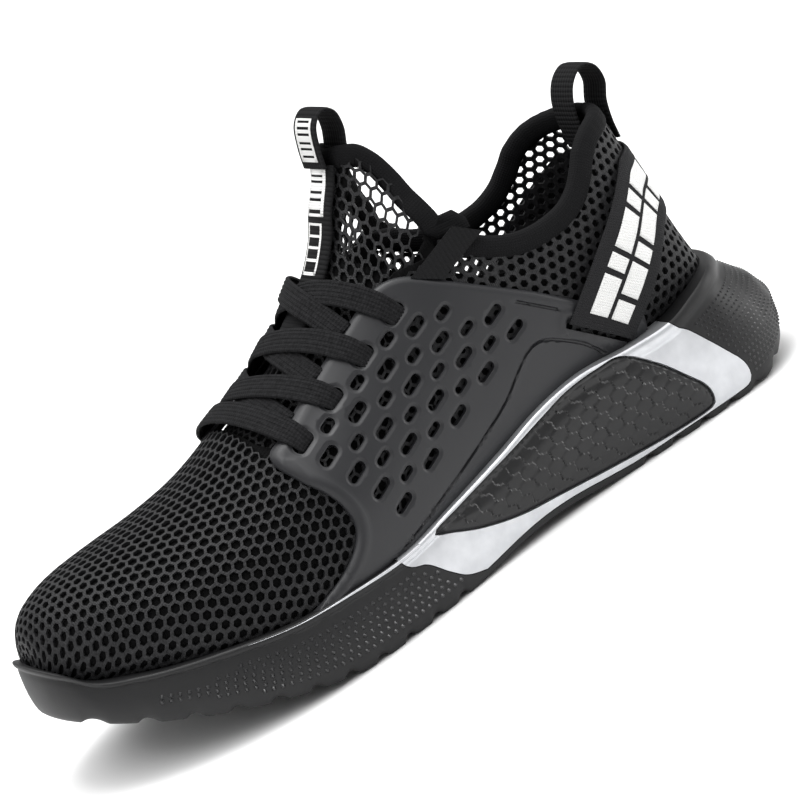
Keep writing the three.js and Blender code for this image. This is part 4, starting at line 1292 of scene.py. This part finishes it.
def makeCages():
    outline = cageOutline()
    slots = slotList()
    holes = [slotOutline(place, size) for place, size in slots]
    keeper = keeperOutline()
    rings = []
    for place, size in slots:
        for grow in (0.5, 1.0, 1.4):
            rings.append(slotOutline(place, size, cage["rim"] * grow))
    lines = [growOutline(outline, -amount) for amount in (0.45, 1.3, 2.6, 3.8, 4.8, 5.4, 6.1)]
    for line in (incisedLine, *incisedMarks):
        side = np.gradient(line, axis=0)
        side = np.column_stack([-side[:, 1], side[:, 0]]) / np.linalg.norm(side, axis=1)[:, None]
        lines += [line + side * amount for amount in (-1.2, -0.6, -0.3, 0.3, 0.6, 1.2)]
    blocked = holes + [keeper]
    loose = np.vstack(lines)
    _, first = np.unique(np.round(loose / 0.34).astype(int), axis=0, return_index=True)
    loose = loose[np.sort(first)]
    clear = insideOutline(loose, outline) & (lineDistance(loose, outline, closed=True) > 0.3)
    for hole in holes:
        clear &= ~insideOutline(loose, hole) & (lineDistance(loose, hole, closed=True) > cage["rim"] * 1.7)
    clear &= ~insideOutline(loose, keeper) & (lineDistance(loose, keeper, closed=True) > 0.3)
    ringPoints = np.vstack(rings)
    ringPoints = ringPoints[insideOutline(ringPoints, outline) & (lineDistance(ringPoints, outline, closed=True) > 0.2)]
    flat, tris = fillChart(outline, blocked, cage["step"], [np.vstack([loose[clear], ringPoints])])
    height = cageHeight(flat, outline, holes, keeper)
    for side, name in ((1, "cageLateral"), (-1, "cageMedial")):
        def place(points, grow, side=side):
            laid, _ = sidePlace(points, side, grow)
            laid[:, 1] = np.where(laid[:, 1] * side < cage["midGap"], cage["midGap"] * side, laid[:, 1])
            return laid

        faces = tris if side > 0 else tris[:, ::-1]
        piece = layChart(name, flat, faces, place, lambda p: height, lambda p: cage["in"], finish["cage"])
        crisp(piece, 50)
        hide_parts("cage_lateral" if side > 0 else "cage_medial")
        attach(piece, "root")
    print("cages made", len(piece.data.polygons))


makeCages()


# Laces: flat ribbed bars from eyelet to eyelet and the crossings between them
lace = {"width": 8.8, "thick": 1.7, "ribs": 6, "over": 3.5, "under": 1.7, "bow": 2.5, "dip": 1.7, "toeLead": 6}


def laceSection(width, thick, count):
    across = np.linspace(-1, 1, count * 6 + 1)
    edge = np.clip(1 - np.abs(across) ** 8, 0, 1)
    rib = 0.3 * np.abs(np.sin(np.pi * count * (across + 1) / 2))
    top = (thick / 2 - 0.3 + rib) * edge ** 0.6
    upperSide = np.column_stack([across * width / 2, top])
    lowerSide = np.column_stack([across[::-1] * width / 2, -top[::-1]])[1:-1]
    return np.vstack([upperSide, lowerSide])


def instepPath(place, lateral, medial, bow, grow):
    # Points over the instep, by rays square to the lacing line; ends are (along, across)
    way = np.array([math.cos(laceTilt), 0, -math.sin(laceTilt)])
    out = np.array([math.sin(laceTilt), 0, math.cos(laceTilt)])
    base = np.array([place[0], 0, place[1]])
    t = np.linspace(0, 1, len(grow))
    y = lateral[1] * (1 - t) + medial[1] * t
    s = lateral[0] * (1 - t) + medial[0] * t + bow * np.sin(np.pi * t)
    starts = base + way * s[:, None] + np.stack([0 * y, y, 0 * y], -1) + out * 90
    points, normals = lastProbe.cast(starts, -out)
    return points + normals * grow[:, None], normals


def laceRise(startFold, endFold, mid, count=56):
    # Heights along a lace: a rounded fold into an eyelet, or tucked low under the cage edge
    t = np.linspace(0, 1, count)
    fold = (0.0, 1.4, 2.5, 3.2, 3.5)
    grow = np.full(count, lace["over"])
    grow += (mid - lace["over"]) * np.sin(np.pi * t) ** 2
    for ends, folded in ((slice(0, 5), startFold), (slice(-1, -6, -1), endFold)):
        if folded:
            grow[ends] = fold
    if not endFold:
        grow = grow + (lace["under"] - lace["over"]) * soften(t, 0.66, 0.92)
    return grow


def makeLaces():
    section = laceSection(lace["width"], lace["thick"], lace["ribs"])
    pieces = []
    step = math.hypot(cage["back"], cage["up"])
    for number, place in enumerate(eyelets[::-1]):
        ends = [sidePlace([place], side, 0)[0][0][1] for side in (1, -1)]
        last = number == len(eyelets) - 1
        for side in (1, -1):
            if last and side < 0:
                continue
            edge, far = ends[0] + lace["dip"], ends[1] + 4.5
            if side < 0:
                edge, far = ends[1] - lace["dip"], ends[0] - 4.5
            onTop = (side > 0) != (number == 0)
            mid = lace["over"] if onTop else lace["under"]
            lead, bow = (step * 0.86, lace["bow"]) if not last else (lace["toeLead"], 0)
            if last:
                far = ends[1] - lace["dip"]
            line, normal = instepPath(place, (-0.6, edge), (lead, far), bow, laceRise(True, last, mid))
            turned = np.minimum(np.arange(56), 55 - np.arange(56)) if last else np.arange(56)
            taper = 1 - 0.2 * (1 - soften(turned, 0, 6))
            name = f"laceBar{number + 1}" if side > 0 else f"laceCross{number + 1}"
            pieces.append(sweep(name, line, normal,
                                lambda i, taper=taper: section * (taper[i], 1), finish["lace"]))
    for piece in pieces:
        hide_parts("laces")
        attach(piece, "root")
    print("laces made", len(pieces))


makeLaces()


# Webbing: heel strap, pull loops and tabs
strap = {"thick": 1.5, "low": 0.35, "high": 2.8}
strapLow = np.array(shares([(0.020, 0.632), (0.056, 0.632), (0.104, 0.608), (0.131, 0.574), (0.172, 0.486),
                            (0.229, 0.368)]))
strapHigh = np.array(shares([(0.020, 0.849), (0.060, 0.849), (0.124, 0.849), (0.148, 0.823), (0.219, 0.685),
                             (0.297, 0.5245)]))


def strapCentre(share):
    # One edge-to-edge line of the strap: where x on the lower edge meets x on the upper one
    return strapLow * (1 - share) + strapHigh * share


def strapGrid(along=190, across=17):
    # Round the back by level crossings, along the flanks by rays from the side
    lines = []
    for share in np.linspace(0, 1, across):
        edge = smoothLine(strapCentre(share), 160)
        turn = 0.13 * length
        angles = np.linspace(deg(-90), deg(0), 200)
        halves = []
        for side in (1, -1):
            around = angles if side > 0 else deg(-180) - angles
            at = crossingLine(around, lambda x, z: z - np.interp(x, edge[:, 0], edge[:, 1]), 0.3)
            back, _ = lastSurface(at, around, np.zeros(len(around)))
            back = back[back[:, 0] < turn]
            flank, _ = sidePlace(edge[edge[:, 0] >= turn + 0.5], side, 0)
            halves.append(np.vstack([back, flank]))
        line = np.vstack([halves[0][::-1], halves[1][1:]])
        walk = np.concatenate([[0], np.cumsum(np.linalg.norm(np.diff(line, axis=0), axis=1))])
        places = np.linspace(0, walk[-1], along)
        lines.append(np.stack([np.interp(places, walk, line[:, k]) for k in range(3)], -1))
    points = np.array(lines)
    normals = np.cross(np.gradient(points, axis=0), np.gradient(points, axis=1))
    normals /= np.linalg.norm(normals, axis=2, keepdims=True)
    if (normals[..., 1] * points[..., 1]).sum() < 0:
        normals = -normals
    lifts = strap["low"] + (strap["high"] - strap["low"]) * soften(points[..., 0] / length, 0.12, 0.20)
    return points, normals, lifts


def gridPlate(name, points, normals, low, high, material, uv, edge=0.5):
    # A plate between two heights over a grid, its long edges rounded
    rows, columns = points.shape[:2]
    round_ = np.ones((rows, 1))
    round_[0] = round_[-1] = 1 - edge
    middle = (low + high) / 2
    top = points + normals * (middle + (high - low) / 2 * round_)[..., None]
    bottom = points + normals * (middle - (high - low) / 2 * round_)[..., None]
    quads = gridFaces(rows, columns)
    tris = np.vstack([quads[:, [0, 1, 2]], quads[:, [0, 2, 3]]])
    allUv = np.vstack([uv.reshape(-1, 2)] * 2)
    faces = shellFaces(tris, rows * columns)
    return outward(toMesh(name, np.vstack([top.reshape(-1, 3), bottom.reshape(-1, 3)]), faces, material, allUv))


def printPatch(name, grid, block, low, high):
    # A thin white plate over part of a grid; block is (from, to) along and (from, to) across, as shares
    a, b, c, d = block
    rows, columns = grid[0].shape[:2]
    u, v = np.linspace(a, b, 10) * (columns - 1), np.linspace(c, d, 7) * (rows - 1)

    def pick(values):
        onLine = np.array([[np.interp(u, np.arange(columns), values[r, :, k]) for r in range(rows)]
                           for k in range(values.shape[2])])
        return np.array([[np.interp(v, np.arange(rows), onLine[k, :, j]) for j in range(len(u))]
                         for k in range(values.shape[2])]).transpose(2, 1, 0)

    heights = pick(np.stack([np.broadcast_to(low, (rows, columns)), np.broadcast_to(high, (rows, columns))], -1))
    return gridPlate(name, pick(grid[0]), pick(grid[1]), heights[..., 0], heights[..., 1], finish["ink"],
                     pick(grid[2]), 0)


strapBlocks = [(0.20, 0.47, (0.030, 0.075, 0.088, 0.160, 0.172, 0.205, 0.218, 0.300, 0.312, 0.345, 0.358, 0.440,
                             0.452, 0.494)),
               (0.53, 0.80, (0.030, 0.115, 0.128, 0.160, 0.172, 0.255, 0.268, 0.300, 0.312, 0.395, 0.408, 0.440,
                             0.452, 0.494))]


def makeStrap():
    points, normals, lift = strapGrid()
    walk = np.zeros(points.shape[:2])
    walk[:, 1:] = np.cumsum(np.linalg.norm(np.diff(points, axis=1), axis=2), axis=1)
    over = np.zeros(points.shape[:2])
    over[1:] = np.cumsum(np.linalg.norm(np.diff(points, axis=0), axis=2), axis=0)
    uv = np.stack([walk, over], -1)
    piece = gridPlate("heelStrap", points, normals, lift, lift + strap["thick"], finish["strap"], uv, 0.6)
    crisp(piece, 40)
    # A plain printed band: two rows of blocks with staggered joints, the same on both sides
    blocks = []
    for low, high, joints in strapBlocks:
        pairs = list(zip(joints[::2], joints[1::2]))
        blocks += [(a, b, low, high) for a, b in pairs] + [(1 - b, 1 - a, low, high) for a, b in pairs]
    over = strap["thick"] + 0.02
    made = [printPatch(f"strapPrint{number + 1}", (points, normals, uv), block, lift + over, lift + over + 0.14)
            for number, block in enumerate(blocks)]
    joinPieces(made, "strapPrint")
    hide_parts("heel_strap")
    for one in (piece, made[0]):
        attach(one, "root")
    print("strap made")


def joinPieces(pieces, name):
    with bpy.context.temp_override(active_object=pieces[0], object=pieces[0], selected_objects=pieces,
                                   selected_editable_objects=pieces):
        bpy.ops.object.join()
    pieces[0].name = name
    pieces[0].data.name = name
    return pieces[0]


makeStrap()


loops = {"thick": 1.6, "heelHalf": 8, "tongueHalf": 9}


def foldedWebbing(name, rows, half, material, ridges=9):
    path = smoothLine(shares(rows), 90)
    line = np.insert(path, 1, 0.0, axis=1)
    along = np.gradient(path, axis=0)
    outs = np.column_stack([-along[:, 1], 0 * along[:, 0], along[:, 0]])
    return sweep(name, line, outs, lambda i: laceSection(2 * half, loops["thick"], ridges), material), line, outs


tongueBlocks = [(0.60, 0.985, 0.16, 0.24), (0.60, 0.985, 0.76, 0.84), (0.60, 0.62, 0.24, 0.76)] + [
    (a, b, 0.24, 0.76) for a, b in ((0.645, 0.70), (0.72, 0.75), (0.77, 0.83), (0.85, 0.88), (0.90, 0.985))] + [
    (0.30, 0.56, 0.22, 0.27), (0.30, 0.56, 0.73, 0.78)] + [
    (a, a + 0.014, 0.27, 0.73) for a in (0.30, 0.36, 0.42, 0.48, 0.546)]
loopBlocks = [(0.0, 1.0, 0.16, 0.24), (0.0, 1.0, 0.76, 0.84), (0.955, 1.0, 0.24, 0.76)] + [
    (a, b, 0.24, 0.76) for a, b in ((0.0, 0.10), (0.16, 0.28), (0.34, 0.42), (0.48, 0.62), (0.68, 0.76), (0.82, 0.90))]


def makeLoops():
    heel, _, _ = foldedWebbing("heelLoop", [
        (0.0950, 0.868), (0.0945, 0.930), (0.0905, 0.995), (0.0815, 1.055), (0.0850, 1.110), (0.1000, 1.132),
        (0.1170, 1.105), (0.1285, 1.050), (0.1330, 0.980), (0.1335, 0.890)], loops["heelHalf"], finish["webbing"])
    front, line, outs = foldedWebbing("tongueLoop", [
        (0.4345, 1.285), (0.4310, 1.345), (0.4230, 1.415), (0.4080, 1.448), (0.3950, 1.425), (0.3940, 1.370),
        (0.4010, 1.310), (0.4060, 1.240)], loops["tongueHalf"], finish["webbing"], 10)
    at = np.linspace(0.47, 0.745, 70)
    y = np.linspace(-1, 1, 15) * loops["tongueHalf"]
    stripPoints, stripNormals = [], []
    for side in y:
        starts = lastPoint(at, np.full(len(at), deg(90)))
        starts = starts + np.array([40, 0, 20]) + np.array([0, 1, 0]) * side
        p, n = lastProbe.cast(starts, np.array([-0.894, 0, -0.447]))
        stripPoints.append(p)
        stripNormals.append(n)
    points, normals = np.array(stripPoints), np.array(stripNormals)
    walk = np.zeros(points.shape[:2])
    walk[:, 1:] = np.cumsum(np.linalg.norm(np.diff(points, axis=1), axis=2), axis=1)
    uv = np.stack([walk, np.repeat(y[:, None], len(at), 1)], -1)
    strip = gridPlate("tongueStrip", points, normals, -1.95, -0.35, finish["webbing"], uv, 0.5)
    for piece, owner in ((heel, "heel_loop"), (front, "tongue_loop"), (strip, "tongue_loop")):
        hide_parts(owner)
        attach(piece, "root")
    # White print: a plain box with marks left open on the loop and strip, and an outlined ladder below it
    leg = slice(5, 34)
    loopPoints = np.array([line[leg] + np.array([0, 1, 0]) * side for side in y])
    loopOuts = -outs[leg] / np.linalg.norm(outs[leg], axis=1, keepdims=True)
    loopGrid = (loopPoints, np.broadcast_to(loopOuts, loopPoints.shape), np.stack(
        [np.broadcast_to(np.arange(29.0), loopPoints.shape[:2]), np.repeat(y[:, None], 29, 1)], -1))
    half = loops["thick"] / 2
    made = []
    for number, block in enumerate(tongueBlocks):
        made.append(printPatch(f"tonguePrint{number}", (points, normals, uv), block, -0.34, -0.22))
    for number, block in enumerate(loopBlocks):
        made.append(printPatch(f"loopPrint{number}", loopGrid, block, half + 0.01, half + 0.13))
    joinPieces(made, "tonguePrint")
    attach(made[0], "root")
    print("loops made")


makeLoops()


def makeTabs():
    outline = resample(np.array(shares([(0.3345, 0.915), (0.402, 0.850), (0.433, 0.900), (0.3616, 0.972)])), 60)
    for side, name in ((1, "collarTabLateral"), (-1, "collarTabMedial")):
        flat, tris = fillChart(outline, [], 1.4)
        faces = tris if side > 0 else tris[:, ::-1]
        piece = layChart(name, flat, faces, lambda p, g, side=side: sidePlace(p, side, g)[0], lambda p: 2.5,
                         lambda p: 1.35, finish["webbing"])
        crisp(piece, 50)
        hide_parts("collar_tab_lateral" if side > 0 else "collar_tab_medial")
        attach(piece, "root")
    print("tabs made")


makeTabs()


# Raised dots on the rubber, in a glossier rubber whose lighter colour is a painted highlight
dots = {"pitch": 3.0, "radius": 0.85, "height": 0.75, "heelPitch": 2.1, "heelRadius": 0.6, "heelHeight": 0.5}


def soleDots(name, levels, inset, stations, pitch, radius, height, sides, top):
    # Rows of dots at set heights up the wall, staggered; stations limit x as shares of length
    profile = [(up, np.interp(up, *zip(*soleInset)) + inset, np.interp(up, *zip(*soleLean))) for up in levels]
    grid, out = soleGrid(profile, soleBottom, soleTop)
    fine, _ = soleGrid([(up + 0.02, np.interp(up + 0.02, *zip(*soleInset)) + inset,
                         np.interp(up + 0.02, *zip(*soleLean))) for up in levels], soleBottom, soleTop)
    places, facings = [], []
    for row, ring in enumerate(grid):
        loop = np.vstack([ring, ring[:1]])
        walk = np.concatenate([[0], np.cumsum(np.linalg.norm(np.diff(loop, axis=0), axis=1))])
        spots = np.arange(0, walk[-1], pitch) + (row % 2) * pitch / 2
        p = np.stack([np.interp(spots, walk, loop[:, k]) for k in range(3)], -1)
        upLoop = np.vstack([fine[row], fine[row][:1]])
        upWay = np.stack([np.interp(spots, walk, upLoop[:, k]) for k in range(3)], -1) - p
        outLoop = np.vstack([out, out[:1]])
        o = np.stack([np.interp(spots, walk, outLoop[:, k]) for k in range(2)] + [0 * spots], -1)
        upWay /= np.linalg.norm(upWay, axis=1, keepdims=True)
        o = o - (o * upWay).sum(1, keepdims=True) * upWay
        o /= np.linalg.norm(o, axis=1, keepdims=True)
        keep = stations(p, row)
        places.append(p[keep])
        facings.append(o[keep])
    places, facings = np.vstack(places), np.vstack(facings)
    return makeStuds(name, places - facings * 0.08, facings, radius, height, top, sides, finish["dot"])


pipingHighlight = {"from": 0.585, "to": 0.815, "size": 1.2, "up": 0.975}


def makePipingHighlight():
    # A thin silver line along the rim of the rubber: partly the silver bar carried on, partly a painted highlight on
    # the black rim's edge, thinning away towards the toe
    up = pipingHighlight["up"]
    grid, out = soleGrid([(up, np.interp(up, *zip(*soleInset)), np.interp(up, *zip(*soleLean)))], soleBottom, soleTop)
    ring = grid[0]
    made = []
    for side, name in ((1, "pipingHighlightLateral"), (-1, "pipingHighlightMedial")):
        share = ring[:, 0] / length
        keep = (share > pipingHighlight["from"]) & (share < pipingHighlight["to"]) & (ring[:, 1] * side > 0)
        order = np.argsort(ring[keep, 0])
        line, facing = ring[keep][order], np.column_stack([out[keep][order], np.zeros(keep.sum())])
        thin = 1 - 0.92 * soften(np.arange(len(line)) / len(line), 0.1, 1)
        body = roundSection(pipingHighlight["size"], pipingHighlight["size"], count=12, power=2)
        made.append(sweep(name, line, facing, lambda i, thin=thin, body=body: body * thin[i], finish["silver"]))
    for piece in made:
        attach(piece, "root")
    print("piping made")


makePipingHighlight()


def makeDots():
    zone = growOutline(zoneOutline(), 1.6)

    def forefoot(p, row):
        at = p[:, 0] / length
        band = np.abs(row - 2.5) < 0.6 + 3.2 * soften(0.92 - at, 0, 0.16)
        return (at > 0.53) & (at < 0.92) & band & ~insideOutline(p[:, [0, 2]], zone)

    def heel(p, row):
        return (p[:, 0] < 0.17 * length) & ~insideOutline(p[:, [0, 2]], zone)

    front = soleDots("forefootDots", np.linspace(0.24, 0.72, 6), 0, forefoot, dots["pitch"], dots["radius"],
                     dots["height"], 8, 0.35)
    rear = soleDots("heelDots", np.linspace(0.14, 0.80, 15), 0, heel, dots["heelPitch"], dots["heelRadius"],
                    dots["heelHeight"], 6, 0.4)
    for piece in (front, rear):
        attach(piece, "root")
    print("dots made", len(front.data.polygons), len(rear.data.polygons))


makeDots()


# Insole: a soft bed over the lasting, crowned at the edge
def makeInsole():
    bed = lastSolid("insoleBed", -2.35, 90, 80)
    x = np.linspace(0, length, 60)
    base = bedHeight(x)
    low, high = base + 2.35, base + 5.85
    slab = sidePrism("slabTool", np.vstack([np.column_stack([x, low]), np.column_stack([x, high])[::-1]]), -80, 80)
    carve(bed, slab, "INTERSECT")
    drop(slab)
    crisp(bed, 50)
    round_ = bed.modifiers.new("round", "BEVEL")
    round_.width = 0.0012
    round_.segments = 3
    round_.limit_method = "ANGLE"
    round_.angle_limit = deg(50)
    bake(bed)
    bed.data.materials.clear()
    bed.data.materials.append(finish["cloth"])
    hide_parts("insole")
    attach(bed, "root")
    print("insole made")


makeInsole()


# Stage
def makeStage():
    floor = newMaterial("paleFloor", (0.86, 0.86, 0.86), 0.7)
    noise = node(floor, "ShaderNodeTexNoise", Scale=40)
    wire(floor, coords(floor), noise.inputs["Vector"])
    addBump(floor, noise.outputs["Fac"], 0.02, 0.001)
    points = [(-6000, -6000, 0), (6000, -6000, 0), (6000, 6000, 0), (-6000, 6000, 0)]
    ground = toMesh("floor", points, [(0, 1, 2, 3)], floor, smooth=False)
    world = bpy.data.worlds.new("studio")
    world.use_nodes = True
    world.node_tree.nodes["Background"].inputs["Color"].default_value = (1, 1, 1, 1)
    world.node_tree.nodes["Background"].inputs["Strength"].default_value = 0.45
    scene.world = world
    scene.view_settings.view_transform = "Standard"
    target = Vector(look["target"])
    areaLight("skyLight", (0.1, 0.0, 2.2), target, (4.4, 4.4), 112)
    areaLight("keyLight", target + camTop * 1.1 + camBack * 0.35 - camRight * 0.55, target, (0.6, 0.6), 9)
    areaLight("rimLight", target + camTop * 0.5 + camRight * 1.0 - camBack * 0.2, target, (0.5, 0.9), 7)
    areaLight("fillLight", target + camBack * 1.2 - camRight * 0.9 + camTop * 0.2, target, (0.8, 0.8), 3)


makeStage()
